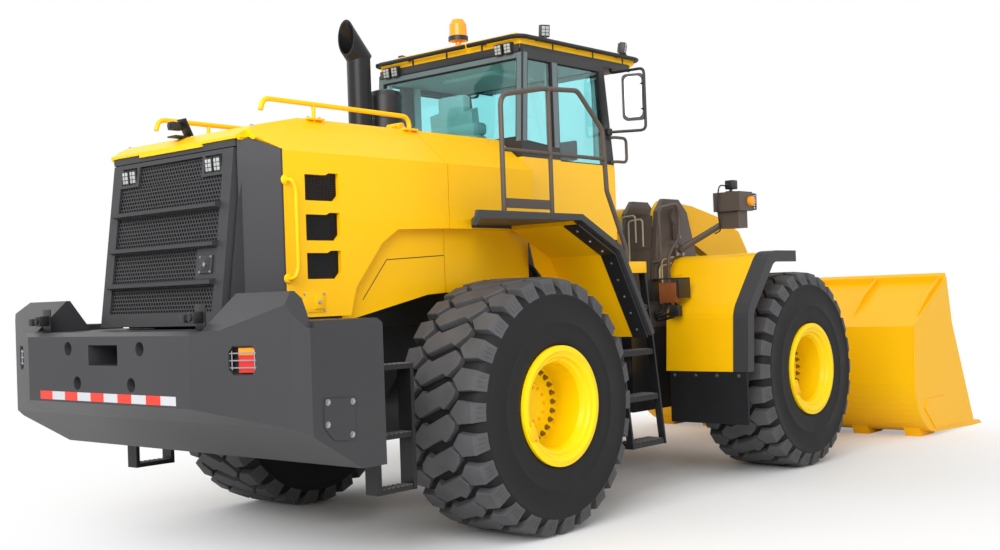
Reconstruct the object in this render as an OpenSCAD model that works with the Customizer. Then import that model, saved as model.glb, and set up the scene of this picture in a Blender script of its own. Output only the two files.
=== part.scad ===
// Articulated wheel loader with a Z-bar linkage and a straight-edged bucket.
// +X points forward, +Y to the left, +Z up, and the ground is z = 0.

/* [Running gear] */
// Distance between the two axles
wheelbase = 3800; // [3600:10:4000]
// Distance between the tyre centres of one axle
track = 2620; // [2560:10:2700]
// Radius out to the tips of the lugs
tyre_r = 915; // [880:5:940]
// Width of a tyre
tyre_w = 750; // [680:10:760]
// Radius of the rim's bead seat
rim_r = 395; // [370:5:410]
// Depth of the tread's grooves
groove = 45; // [35:1:50]
// Tread blocks in one row around a tyre
pitches = 24; // [20:1:28]
// Half the length of a shoulder block along the tread
lug_half = 82; // [70:1:90]
// Radius of the dish inside the rim
dish_r = 300; // [285:5:310]
// Radius of an axle spindle
spindle_r = 110; // [90:5:130]

/* [Frames] */
// Thickness of the frame's side plates
frame_t = 60; // [40:5:70]
// Half the distance between the outer faces of the rear frame
frame_half_w = 470; // [440:5:490]
// Radius of the two articulation pins
steer_pin_r = 55; // [45:1:65]
// Thickness of the front frame's articulation lugs
steer_lug_t = 90; // [70:5:110]
// Running clearance of pins and shafts
pin_gap = 0.3; // [0.1:0.1:0.5]
// Side gap between pieces that turn past each other
side_gap = 8; // [6:1:12]

/* [Counterweight] */
// Rear axle to the rear face of the counterweight
rear_reach = 2550; // [2500:10:2700]
// Width of the counterweight
weight_w = 3300; // [3200:10:3340]
// Height of the counterweight's top
weight_top = 1560; // [1540:5:1580]
// Radius of the tow pin's bore
tow_r = 32; // [25:1:40]

/* [Hood and cab] */
// Width of the hood
hood_w = 1860; // [1800:10:1870]
// Height of the hood's crown
hood_top = 2985; // [2950:5:3020]
// Wall of the hood and cowl
hood_t = 30; // [20:2:40]
// Width of the cab
cab_w = 1660; // [1600:10:1700]
// Wall of the cab and its door
cab_t = 60; // [50:5:70]
// Height of the cab's floor
cab_floor = 2150; // [2140:5:2170]
// Height of the cab's eaves
cab_eaves = 3680; // [3640:10:3720]
// Thickness of the glass
glass_t = 8; // [6:1:12]

/* [Loader] */
// Thickness of a lift arm
arm_t = 100; // [80:5:110]
// Distance from the middle plane to the middle of a lift arm
arm_y = 540; // [530:5:550]
// Width of the bucket
bucket_w = 3560; // [3440:10:3600]
// Thickness of the bucket's plates
bucket_t = 35; // [25:1:45]
// Radius of the loader's pins
pin_r = 60; // [50:1:70]
// Radius of a lift cylinder's barrel
lift_bore_r = 80; // [75:5:90]
// Radius of a lift cylinder's rod
lift_rod_r = 55; // [45:5:60]

/* [Hidden] */
$fn = 48;

// Loader pins in the middle plane, as [x from the front axle, z]
arm_pin = [-650, 2390];
bucket_pin = [2040, 340];
crank_pin = [880, 1700];
crank_top = [930, 2330];
crank_low = [826, 1082];
link_pin = [2005, 738];
lift_base = [-750, 1060];
lift_eye = [900, 1480];
bucket_lip = 4050;

// Places along the machine, with the origin at the middle of its length
overall_l = rear_reach + wheelbase + bucket_lip;
rear_x = rear_reach - overall_l / 2;
front_x = rear_x + wheelbase;
pivot_x = rear_x + wheelbase / 2;
lug_top = sqrt(tyre_r * tyre_r - lug_half * lug_half);
axle_z = lug_top * cos(180 / pitches) + lug_half * sin(180 / pitches);

// Articulation lugs and steering cylinders, x from the articulation axis
lug_z = [620, 1330];
lug_r = 150;
ear_t = 50;
steer_z = 1000;
steer_base = [-830, 580];
steer_eye = [320, 470];

// Body colours
yellow = "#ffcf00";
grey = "#4c4c4e";
black = "#1d1d1f";
bronze = "#5a4a3c";

function unit(v) = v / norm(v);
function arc(c, r, a0, a1, n) = [for (i = [0:n]) let (a = a0 + (a1 - a0) * i / n) c + r * [cos(a), sin(a)]];
function lean(z) = -2043 - 0.13 * (2350 - z);

// Inner corners of a route rounded to radius r, three steps to a bend
function rounded(p, r) = concat([p[0]], [for (i = [1:len(p) - 2])
    let (u = unit(p[i - 1] - p[i]), v = unit(p[i + 1] - p[i]), h = acos(u * v) / 2,
         c = p[i] + unit(u + v) * r / sin(h), s = p[i] + u * r / tan(h) - c, e = p[i] + v * r / tan(h) - c,
         turn = 180 - 2 * h)
    for (k = [0:3]) c + (sin(turn * (1 - k / 3)) * s + sin(turn * k / 3) * e) / sin(turn)],
    [p[len(p) - 1]]);

// Round bar along a route
module tube(p, r, ref = [0.31, 0.93, 0.2], n = 8) {
    m = len(p);
    t = [for (i = [0:m - 1]) unit((i < m - 1 ? unit(p[i + 1] - p[i]) : [0, 0, 0])
        + (i > 0 ? unit(p[i] - p[i - 1]) : [0, 0, 0]))];
    polyhedron(
        points = [for (i = [0:m - 1]) let (s = unit(cross(t[i], ref)), u = cross(s, t[i]))
            for (k = [0:n - 1]) p[i] + r * (cos(360 * k / n) * s + sin(360 * k / n) * u)],
        faces = concat([[for (k = [n - 1:-1:0]) k]], [[for (k = [0:n - 1]) (m - 1) * n + k]],
            [for (i = [0:m - 2]) for (k = [0:n - 1])
                [i * n + k, i * n + (k + 1) % n, (i + 1) * n + (k + 1) % n, (i + 1) * n + k]]));
}

module at_rear() translate([rear_x, 0, 0]) children();
module at_front() translate([front_x, 0, 0]) children();
module at_pivot() translate([pivot_x, 0, 0]) children();
module both() {
    children();
    mirror([0, 1, 0]) children();
}
module side(s) {
    if (s > 0) children();
    else mirror([0, 1, 0]) children();
}

// Plates and prisms by the plane of their outline
module plate_xz(points, y0, y1) translate([0, y1, 0]) rotate([90, 0, 0]) linear_extrude(y1 - y0) polygon(points);
module plate_yz(points, x0, x1) translate([x0, 0, 0]) rotate([90, 0, 90]) linear_extrude(x1 - x0) polygon(points);
module plate_xy(points, z0, z1) translate([0, 0, z0]) linear_extrude(z1 - z0) polygon(points);
module block(x0, x1, y0, y1, z0, z1) translate([x0, y0, z0]) cube([x1 - x0, y1 - y0, z1 - z0]);
// Round bar across the machine at a pin of the middle plane
module bar_y(p, r, y0, y1) translate([p[0], y0, p[1]]) rotate([-90, 0, 0]) cylinder(r = r, h = y1 - y0);
// Link plate between two pins, round at both ends
module link_plate(a, b, ra, rb, y0, y1) translate([0, y1, 0]) rotate([90, 0, 0]) linear_extrude(y1 - y0) {
    n = unit([a[1] - b[1], b[0] - a[0]]);
    translate(a) circle(ra);
    translate(b) circle(rb);
    polygon([a + n * ra, a - n * ra, b - n * rb, b + n * rb]);
}

// Rear frame
module steer_ears(z) translate([0, 0, z]) linear_extrude(ear_t) {
    circle(lug_r);
    polygon([[-520, -380], [0, -lug_r], [0, lug_r], [-520, 380]]);
}
module rear_chassis() color(grey) {
    inner = frame_half_w - frame_t;
    // Side plates, open at the front for the steering cylinders' swing
    plate = [[-1610, 800], [-1610, 1500], [1300, 1500], [1450, 1400], [1450, steer_z + 100], [1180, steer_z + 100],
        [1180, steer_z - 100], [1450, steer_z - 100], [1450, 600], [700, 600], [370, 1180], [-370, 1180], [-700, 800]];
    at_rear() {
        both() plate_xz(plate, inner, frame_half_w);
        block(-1610, -1550, -inner, inner, 800, 1500);
        block(1390, 1450, -inner, inner, 600, 1500);
        for (x = [-1100, 500]) block(x, x + 120, -inner, inner, 1150, 1250);
        both() for (x = [780, 1250]) block(x, x + 110, inner, frame_half_w, 1400, cab_floor);
        // Tanks between the wheels
        both() {
            block(980, 1310, 700, 930, 720, 1420);
            block(980, 1300, frame_half_w, 700, 1300, 1420);
        }
        // Posts and beams under the cowl
        both() {
            block(600, 690, inner, frame_half_w, 1500, 1740);
            block(600, 690, frame_half_w, 860, 1690, 1740);
        }
    }
    at_pivot() {
        for (z = lug_z) {
            steer_ears(z + steer_lug_t + side_gap);
            steer_ears(z - side_gap - ear_t);
            translate([0, 0, z - side_gap - ear_t])
                cylinder(r = steer_pin_r, h = steer_lug_t + 2 * (side_gap + ear_t));
        }
        // Brackets and pins of the steering cylinders
        both() {
            for (z = [steer_z - 75 - side_gap - 40, steer_z + 75 + side_gap])
                block(steer_base[0] - 120, steer_base[0] + 90, frame_half_w - 10, steer_base[1] + 90, z, z + 40);
            translate([steer_base[0], steer_base[1], steer_z - 75 - side_gap - 40])
                cylinder(r = 35, h = 2 * (75 + side_gap + 40));
        }
    }
}
module engine() color("#6b6f73") at_rear() {
    block(-1250, 640, -380, 380, 1250, 2000);
    block(-1100, 300, -260, 260, 2000, 2400);
}

// Drive axle with its spindles, differential and pads under the frame
module axle(pad_z, pads) translate([0, 0, axle_z]) {
    hub = track / 2 - 120;
    rotate([-90, 0, 0]) rotate_extrude() polygon([[0, -track / 2 - 19], [spindle_r, -track / 2 - 19], [spindle_r, -hub],
        [250, -hub + 20], [250, -hub + 190], [180, -hub + 230], [180, -420], [285, -190], [285, 190], [180, 420],
        [180, hub - 230], [250, hub - 190], [250, hub - 20], [spindle_r, hub], [spindle_r, track / 2 + 19],
        [0, track / 2 + 19]]);
    both() for (p = pads) block(-170, 170, p[0], p[1], 0, pad_z - axle_z);
}
module rear_axle() color(grey) at_rear() axle(1180, [[frame_half_w - frame_t, frame_half_w]]);
module front_axle() color(grey) at_front() axle(1180, [[tower_inner - 45, tower_inner], [tower_y, tower_y + 45]]);

// Counterweight with its raised corners, tow slot and holes
weight_front = -1662;
// Chamfer of the corners, as [along the machine, across it]
chamfer = [240, weight_w / 2 - 75 - 940];
wing_top = weight_top + 216;
module counterweight() color(grey) at_rear() difference() {
    half = weight_w / 2;
    rear = -rear_reach;
    corner = [[rear, 940], [rear + chamfer[0], 940 + chamfer[1]], [rear + 323, half], [weight_front, half]];
    outline = concat(corner, [for (i = [len(corner) - 1:-1:0]) [corner[i][0], -corner[i][1]]]);
    union() {
        intersection() {
            plate_xy(outline, 600, weight_top);
            plate_xz([[rear, 1104], [rear + 250, 985], [rear + 690, 716], [weight_front, 716], [weight_front, weight_top],
                [rear + 45, weight_top], [rear, weight_top - 25]], -half, half);
        }
        both() intersection() {
            plate_xy(outline, 600, 2000);
            plate_xz([[rear + 50, weight_top - 20], [rear + 318, wing_top], [rear + 345, wing_top], [rear + 510, weight_top - 20]],
                900, half);
            plate_yz([[965, weight_top - 20], [981, wing_top], [half - 157, wing_top], [half, weight_top - 20]], rear, weight_front);
            plate_xy([[rear, 900], [rear + 515, 900], [rear + 515, 965], [rear + 345, half], [rear, half]], 600, 2000);
        }
        // Raised shelf ahead of the wings
        both() plate_xz([[rear + 352, weight_top - 20], [rear + 352, weight_top + 40], [weight_front - 45, weight_top + 40],
            [weight_front, weight_top + 10], [weight_front, weight_top - 20]], 1180, half);
    }
    // Tow slot and its pin's bore
    block(rear - 1, rear + 260, -170, 170, 1350, 1480);
    translate([rear + 130, 0, 1220]) cylinder(r = tow_r, h = 1000);
    for (h = [[420, 1456], [315, 1232]]) both() translate([rear - 1, h[0], h[1]]) rotate([0, 90, 0]) cylinder(r = 45, h = 121);
    // Lamp recesses in the chamfered corners
    both() lamp_place() plate_yz([[-92, -50], [-62, -85], [62, -85], [92, -50], [92, 50], [62, 85], [-62, 85], [-92, 50]], -60, 60);
}
lamp_out = 335;
module lamp_place() translate([-rear_reach + chamfer[0] * lamp_out / chamfer[1], 940 + lamp_out, 1385])
    rotate([0, 0, -atan(chamfer[0] / chamfer[1])]) children();
module tail_lamps() color("#c8371c") at_rear() both() lamp_place() {
    block(25, 60, -40, 70, 28, 72);
    block(25, 60, -40, 70, -72, 26);
}
// Rear steps beside the counterweight
module rear_steps() color(grey) at_rear() both() {
    block(weight_front, -1540, 1330, 1370, 1150, 1500);
    for (x = [-1500, -1190]) block(x - 15, x + 15, 1290, 1410, 480, 1290);
    block(-1545, -1175, 1290, 1410, 1260, 1290);
    for (z = [480, 820]) block(-1500, -1190, 1295, 1405, z, z + 30);
}

// Hood as crossed profiles, less the same profiles inside the wall
hood_front = -280;
hood_rear = -1800;
hinge_z = hood_top + 21;
rail_y = 602;
rail_feet = [[-330, 18], [-1250, 14]];
module hood_form(t) {
    half = hood_w / 2 - t;
    top = hood_top - t;
    intersection() {
        plate_yz([[-half, 1500], [half, 1500], [half, 2680], [half - 340, top - 25], [0, top], [-half + 340, top - 25],
            [-half, 2680]], -2200, 800);
        plate_xz([[-2000, 1500], [-2000, 2780 - t], [-1870, 2855 - t], [-1270, top], [800, top - 30], [800, 1500]],
            -half, half);
    }
}
arch = [[-1260, 1610], [-1210, 1790], [-950, 2100], [-800, 2190], [0, 2215]];
tyre_inner = track / 2 - tyre_w / 2;
panel_y = min(hood_w / 2 - 95, tyre_inner - hood_t - 40);
cowl_low = min(hood_w / 2 - 70, tyre_inner - 75);
module hood() color(yellow) at_rear() {
    difference() {
    hood_form(0);
    hood_form(hood_t);
    // Rear end behind the corner panels, and the clear gap to the cowl
    plate_xz([[-2100, 1400], [-2100, 2700], [-1925, 2700], [-1925, 2765], [hood_rear, 2690], [hood_rear, 1400]], -hood_w, hood_w);
    block(hood_front, 900, -hood_w, hood_w, 1400, 3100);
    block(-2100, -1925, -hood_w, hood_w, 1400, 3000);
    // Lower edge with the wheel arch
    plate_xz(concat([[-1900, 1400], [-1900, 1610]], arch, [[0, 1400]]), -hood_w, hood_w);
    // Side vents
    for (z = [2550, 2290, 2040]) both() plate_xz([[-1625, z - 15], [-1450, z - 15], [-1420, z], [-1335, z], [-1335, z - 145],
        [-1375, z - 185], [-1625, z - 185]], hood_w / 2 - 80, hood_w);
    for (f = rail_feet) both() translate([f[0], rail_y, 2700]) cylinder(r = f[1] + pin_gap, h = 400);
    }
    // Lip of the wheel arch and the panel set back inside it
    both() intersection() {
        plate_xz(concat(arch, [[0, 2255], [-815, 2230], [-985, 2135], [-1250, 1815], [-1300, 1610]]), panel_y, hood_w / 2);
        block(-1400, hood_front, 0, hood_w, 1400, 2600);
    }
    both() plate_xz([[-1290, 1580], [-1160, 1590], [-460, 1730], [hood_front, 1740], [hood_front, 2240], [-810, 2220], [-975, 2125],
        [-1240, 1810]], panel_y, panel_y + hood_t);
    // Hinge knuckles
    both() difference() {
        union() {
            block(hood_front - 60, hood_front - 1, 368, 432, hood_top - 40, hinge_z);
            bar_y([hood_front + 5, hinge_z], 28, 368, 432);
        }
        bar_y([hood_front + 5, hinge_z], 12 + pin_gap, 300, 500);
    }
}
// Dark corner panels and frame around the grille, carried by the hood
module hood_rear() color(grey) at_rear() {
    half = hood_w / 2;
    both() plate_xy([[-1980, 700], [-1960, 700], [hood_rear, half - 40], [hood_rear, half], [-1815, half]], 1640, 2690);
    difference() {
        plate_xz([[lean(1640) + 60, 1640], [lean(2740) + 60, 2740], [-1925, 2740], [-1925, 1640]], -720, 720);
        block(-2300, -1700, -640, 640, 1680, 2700);
    }
    both() plate_xz([[-1930, 2640], [-1930, 2700], [-1700, 2700], [-1700, 2640]], 660, 720);
    // Hinge lugs and pins of the grille door
    grille_hinge() {
        for (z = [-48, 22]) translate([0, 0, z]) {
            cylinder(r = 14, h = 26);
            block(0, 34, -9, 9, 0, 26);
        }
        translate([0, 0, -48]) cylinder(r = 6, h = 96);
    }
}
module grille_hinge() for (z = [1850, 2400]) translate([lean(z) + 30, 708, z]) rotate([0, atan(0.13), 0]) children();
module hood_rails() color(yellow) at_rear() both() {
    z = hood_top - 20;
    tube(rounded([[-1705, rail_y, z + 20], [-1680, rail_y, z + 100], [-330, rail_y, z + 90], [-330, rail_y, z - 40]], 60), 18);
    tube([[-1250, rail_y, z - 50], [-1250, rail_y, z + 95]], 14);
}
// Grille door: frame, bars and slats
module grille_door() color(black) at_rear() {
    zones = [[1670, 1835, 590], [1879, 2078, 590], [2122, 2328, 590], [2372, 2545, 590], [2544, 2680, 365]];
    difference() {
        plate_xz([[lean(1580), 1580], [lean(2710), 2710], [lean(2710) + 55, 2710], [lean(1580) + 55, 1580]], -690, 690);
        for (z = zones) block(-2300, -1700, -z[2], z[2], z[0], z[1]);
        // Lamp pockets in the upper corners
        both() block(-2300, lean(2580) + 32, 395, 575, 2565, 2680);
    }
    for (z = zones) for (k = [0:floor((z[1] - z[0] - 20) / 40)]) {
        h = z[0] + 12 + k * 40;
        block(lean(h) + 20, lean(h) + 40, -z[2] - 5, z[2] + 5, h, h + 12);
    }
    for (z = [1857, 2100, 2350]) plate_xz([[lean(z) + 10, z - 24], [lean(z) - 45, z - 10], [lean(z) - 45, z + 14], [lean(z) + 10, z + 24]],
        -600, 600);
    grille_hinge() difference() {
        union() {
            translate([0, 0, -16]) cylinder(r = 14, h = 32);
            block(-12, 12, -24, 0, -16, 16);
        }
        translate([0, 0, -50]) cylinder(r = 6 + pin_gap, h = 100);
    }
}
module cooling_pack() color("#2a2c2e") at_rear() {
    block(-1800, -1560, -560, 560, 1560, 2600);
    both() block(-1600, -1560, frame_half_w - frame_t, frame_half_w, 1500, 1570);
}

// Fixed cowl between hood and cab
module cowl() color(yellow) at_rear() {
    difference() {
    union() {
        intersection() {
            hood_form(0);
            block(hood_front + 10, 690, -hood_w, hood_w, 2205, 3100);
        }
        block(hood_front + 10, 690, -cowl_low, cowl_low, 1740, 2220);
    }
    intersection() {
        hood_form(hood_t);
        block(hood_front - 1, 660, -cowl_low + hood_t, cowl_low - hood_t, 1700, 3100);
    }
    translate([stack_at[0], stack_at[1], 2800]) cylinder(r = 130 + pin_gap, h = 400);
    translate([cleaner_at[0], cleaner_at[1], 2800]) cylinder(r = 70 + pin_gap, h = 400);
    }
    // Hinge lugs and pins of the hood
    both() {
        for (y = [330, 440]) {
            bar_y([hood_front + 5, hinge_z], 28, y, y + 30);
            block(hood_front + 11, hood_front + 45, y, y + 30, hood_top - 40, hinge_z);
        }
        bar_y([hood_front + 5, hinge_z], 12, 330, 470);
    }
}
stack_at = [-10, 270];
cleaner_at = [270, 270];
module exhaust_stack() color(black) at_rear() translate([stack_at[0], stack_at[1], 0]) {
    translate([0, 0, hood_top - 40]) cylinder(r = 130, h = 60);
    // Mitred end piece, open towards the rear
    difference() {
        union() {
            translate([0, 0, hood_top]) cylinder(r = 96, h = 718);
            translate([0, 0, hood_top + 690]) rotate([0, -42, 0]) translate([0, 0, -45]) cylinder(r = 98, h = 480);
        }
        translate([0, 0, hood_top + 100]) cylinder(r = 84, h = 610);
        translate([0, 0, hood_top + 690]) rotate([0, -42, 0]) translate([0, 0, -30]) cylinder(r = 86, h = 520);
        block(-600, -126, -200, 200, hood_top + 400, hood_top + 1400);
    }
}
module precleaner() color(black) at_rear() translate([cleaner_at[0], cleaner_at[1], hood_top - 50]) rotate_extrude()
    polygon([[0, 0], [70, 0], [70, 110], [115, 150], [138, 175], [138, 250], [134, 256], [134, 300], [138, 306], [138, 440], [125, 480], [60, 500], [0, 505]]);

// Cab
cab_rear = 700;
cab_front = 1950;
door_x0 = 1060;
door_x1 = 1800;
nose_z = cab_floor + 590;
module cab_form(t) {
    half = cab_w / 2 - t;
    plate_xz([[cab_rear + t, cab_floor + t], [cab_front - t, cab_floor + t], [cab_front - t, nose_z],
        [1830 - t, cab_eaves - t], [750 + t, cab_eaves - t], [cab_rear + t, sill]], -half, half);
}
pane_top = cab_eaves - 80;
door_top = cab_eaves - 60;
sill = cab_eaves - 780;
right_panes = [[[765, sill + 30], [808, pane_top], [1110, pane_top], [1110, sill]],
    [[1190, sill - 110], [1190, pane_top], [1765, pane_top], [1840, sill - 110]]];
left_panes = [[[765, sill + 30], [808, pane_top], [1000, pane_top], [1000, sill]]];
rear_pane = [[-765, sill + 60], [765, sill + 60], [765, pane_top], [-765, pane_top]];
front_pane = [[-720, cab_floor + 200], [720, cab_floor + 200], [720, pane_top], [-720, pane_top]];
door_low = cab_floor + 110;
door_pane = [[1125, door_low + 220], [1125, door_top - 60], [1720, door_top - 60], [1740, door_low + 220]];
door_hinges = [door_low + 140, door_top - 220];
module cab_shell() color(yellow) at_rear() {
    difference() {
    cab_form(0);
    cab_form(cab_t);
    for (p = right_panes) plate_xz(p, -1000, -500);
    for (p = left_panes) plate_xz(p, 500, 1000);
    plate_yz(rear_pane, 600, 900);
    plate_yz(front_pane, 1600, 2100);
    block(door_x0, door_x1, 500, 1000, door_low, door_top);
    }
    // Hinge lugs and pins of the door
    half = cab_w / 2;
    for (z = door_hinges) {
        for (dz = [-58, 86]) translate([0, 0, z + dz]) {
            plate_xy([[door_x0 - 30, half - 6], [door_x0 - 4, half - 6], [door_x0 - 4, half + 6], [door_x0 + 20, half + 6],
                [door_x0 + 20, half + 32], [door_x0 - 30, half + 32]], 0, 52);
            translate([door_x0 + 20, half + 20, 0]) cylinder(r = 15, h = 52);
        }
        translate([door_x0 + 20, half + 20, z - 58]) cylinder(r = 8, h = 196);
    }
}
module cab_glass() color("#6f8f85") at_rear() {
    half = cab_w / 2;
    for (p = right_panes) plate_xz(p, -half + 15, -half + 15 + glass_t);
    for (p = left_panes) plate_xz(p, half - 15 - glass_t, half - 15);
    intersection() {
        plate_yz(rear_pane, 600, 900);
        plate_xz([[cab_rear + 15, sill], [765, cab_eaves], [765 + glass_t, cab_eaves], [cab_rear + 15 + glass_t, sill]], -half, half);
    }
    intersection() {
        plate_yz(front_pane, 1600, 2100);
        union() {
            plate_xz([[cab_front - 15 - glass_t, 2200], [cab_front - 15 - glass_t, nose_z], [1815 - glass_t, cab_eaves],
                [1815, cab_eaves], [cab_front - 15, nose_z], [cab_front - 15, 2200]], -half, half);
        }
    }
}
roof_rear = 750;
roof_front = 2335;
roof_y = 805;
module cab_roof() color(yellow) at_rear() intersection() {
    plate_xz([[roof_rear, cab_eaves], [roof_rear, cab_eaves + 100], [830, cab_eaves + 150], [2200, cab_eaves + 150],
        [roof_front, cab_eaves + 100], [roof_front, cab_eaves + 45], [2250, cab_eaves]], -900, 900);
    plate_yz([[-roof_y, cab_eaves], [roof_y, cab_eaves], [roof_y, cab_eaves + 105], [700, cab_eaves + 150], [-700, cab_eaves + 150],
        [-roof_y, cab_eaves + 105]], 600, 2500);
}
module roof_rail() color(black) at_rear() {
    z = cab_eaves + 88;
    tube(rounded([[roof_rear - 55, -250, z], [roof_rear - 55, roof_y + 40, z], [roof_front + 55, roof_y + 40, z],
        [roof_front + 55, -roof_y - 40, z], [roof_rear - 55, -roof_y - 40, z], [roof_rear - 55, -290, z]], 90), 19);
    both() for (x = [960, 1500, 2060]) block(x - 14, x + 14, roof_y, roof_y + 40, z - 10, z + 10);
    both() block(roof_rear - 55, roof_rear, 420, 450, z - 10, z + 10);
}
module beacon() color("#e87a10") at_rear() translate([900, 0, cab_eaves + 150]) rotate_extrude()
    polygon([[0, 0], [26, 0], [26, 45], [78, 50], [82, 60], [82, 85], [76, 95], [73, 190], [50, 232], [0, 245]]);
module cab_seat() color(black) at_rear() {
    block(850, 1330, -250, 250, cab_floor + 380, cab_floor + 500);
    plate_xz([[820, cab_floor + 410], [775, cab_eaves - 430], [850, cab_eaves - 400], [930, cab_floor + 410]], -240, 240);
    block(950, 1200, -150, 150, cab_floor + cab_t, cab_floor + 380);
}
module cab_console() color(black) at_rear() {
    plate_xz([[1640, cab_floor + cab_t], [1560, cab_floor + 762], [1640, cab_floor + 792], [1800, cab_floor + cab_t]], -110, 110);
    translate([1575, 0, cab_floor + 780]) rotate([0, -20, 0]) rotate_extrude() translate([190, 0]) circle(16);
    translate([1595, 0, cab_floor + 775]) rotate([0, -20, 0]) cube([30, 380, 16], center = true);
}
module cab_door() color(yellow) at_rear() {
    half = cab_w / 2;
    g = 6;
    difference() {
        plate_xz([[door_x0 + g, door_low + g], [door_x0 + g, door_top - g], [door_x1 - g, door_top - g], [door_x1 - g, door_low + g]],
            half - cab_t, half);
        plate_xz(door_pane, half - 200, half + 100);
    }
    // Hinge barrels
    for (z = door_hinges) difference() {
        union() {
            translate([door_x0 + 20, half + 20, z]) cylinder(r = 15, h = 80);
            block(door_x0 + 10, door_x0 + 30, half - 5, half + 20, z, z + 80);
        }
        translate([door_x0 + 20, half + 20, z - 1]) cylinder(r = 8 + pin_gap, h = 82);
    }
}
module door_glass() color("#6f8f85") at_rear() plate_xz(door_pane, cab_w / 2 - 15 - glass_t, cab_w / 2 - 15);

// Rear fender with its walkway, over the wheel and down the ladder side
walk_z = 2280;
module fender_rear(s) color(grey) at_rear() side(s) {
    outer = 1620;
    inner = hood_w / 2 + 12;
    // Its rear end runs in slantwise to the cowl
    intersection() {
        plate_xz([[-790, 2185], [-720, walk_z], [420, walk_z], [900, 2050], [1300, 1370], [1262, 1350], [870, 2010], [400, 2235],
            [-700, 2225], [-760, 2170]], inner, outer);
        plate_xy([[-790, outer + 5], [-600, outer - 100], [-50, inner - 5], [1400, inner - 5], [1400, outer + 5]], 1000, 2500);
    }
    block(-40, 690, hood_w / 2, inner + 5, 2215, 2275);
}
// Yellow lining under the front slope of the rear fenders
module fender_liners() color(yellow) at_rear() both()
    plate_xz([[400, 2235], [870, 2010], [1262, 1350], [1234, 1340], [848, 1988], [394, 2206]], hood_w / 2 + 18, 1540);
module fender_rear_left() fender_rear(1);
module fender_rear_right() fender_rear(-1);
module rail(s) color(bronze) at_rear() side(s) {
    y = 1350;
    tube(rounded([[-150, y, walk_z], [-150, y, 3140], [320, y, 3230], [760, y, 3260], [1070, y, 2980], [1100, y, 2500],
        [1330, y, 2050], [1350, y, 1500]], 90), 20);
    tube([[-150, y, 2750], [1080, y, 2750]], 16);
    tube([[400, y, walk_z], [400, y, 3240]], 18);
    block(-150, 420, y - 5, y + 5, 2330, 2400);
}
module rail_left() rail(1);
module rail_right() rail(-1);
module ladder(s) color(black) at_rear() side(s) {
    for (x = [1320, 1780]) plate_yz([[1300, 430], [1360, 430], [1210, 1900], [1150, 1900]], x, x + 20);
    for (h = [[1300, 430], [1262, 800], [1225, 1170], [1188, 1540]]) block(1325, 1795, h[0] - 150, h[0] + 50, h[1], h[1] + 40);
    block(1325, 1795, 1000, 1200, 1860, 1900);
    block(1310, 1330, 860, 1265, 1175, 1205);
}
module ladder_left() ladder(1);
module ladder_right() ladder(-1);
module mirrors() color(black) at_rear() both() {
    tube(rounded([[2010, 780, cab_eaves], [2010, 780, cab_eaves - 60], [2010, 1130, cab_eaves - 65], [2010, 1130, cab_eaves - 600],
        [1860, cab_w / 2 + 15, cab_eaves - 600]], 50), 16);
    block(1840, 1880, cab_w / 2, cab_w / 2 + 40, cab_eaves - 630, cab_eaves - 570);
    block(1970, 2005, 915, 1120, cab_eaves - 585, cab_eaves - 80);
}

// Front frame with the arm tower
tower = [[-1430, 600], [-1430, 1480], [-1050, 1560], [-930, 2440], [-820, 2560], [-560, 2560], [-420, 2440], [-250, 1960],
    [80, 1560], [620, 1420], [620, 760], [400, 1180], [-370, 1180], [-700, 600]];
tower_y = arm_y + arm_t / 2 + side_gap;
tower_inner = 290;
module front_chassis() color(bronze) {
    at_front() {
        both() plate_xz(tower, tower_y, tower_y + 45);
        both() plate_xz(tower, tower_inner - 45, tower_inner);
        block(-1430, -1370, -tower_y - 45, tower_y + 45, 600, 1480);
        plate_xz([[-1000, 1600], [-1000, 2100], [-950, 2100], [-950, 1600]], -tower_y, tower_y);
        block(320, 390, -tower_y, tower_y, 1180, 1220);
        bar_y(arm_pin, pin_r, -tower_y - 60, tower_y + 60);
        both() bar_y(lift_base, 50, tower_inner - 20, tower_y + 20);
    }
    at_pivot() difference() {
        for (z = lug_z) translate([0, 0, z]) linear_extrude(steer_lug_t) {
            circle(lug_r);
            polygon([[480, -430], [0, -lug_r], [0, lug_r], [480, 430]]);
        }
        translate([0, 0, 100]) cylinder(r = steer_pin_r + pin_gap, h = 2000);
    }
    at_pivot() both() {
        for (z = [steer_z - 75 - side_gap - 40, steer_z + 75 + side_gap])
            block(steer_eye[0] - 70, 480, steer_eye[1] - 70, steer_eye[1] + 70, z, z + 40);
    }
}
flare_y = 1510;
function fender_line(d) = rounded([[-1130 + d, 960], [-1090 + d, 1500 - 0.3 * d], [-650 + 0.5 * d, 2010 - d], [120, 2010 - d]], 200 - d);
function band(d0, d1) = let (b = fender_line(d1)) concat(fender_line(d0), [for (i = [len(b) - 1:-1:0]) b[i]]);
fender_end = -185;
module front_fenders() color(yellow) at_front() both() difference() {
    plate_xz(band(0, 25), tower_y + 45, flare_y);
    block(fender_end, 1000, 0, 2000, 1000, 2500);
    // Clear of the tower behind
    block(-2000, -800, 0, 810, 0, 2500);
}
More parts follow.
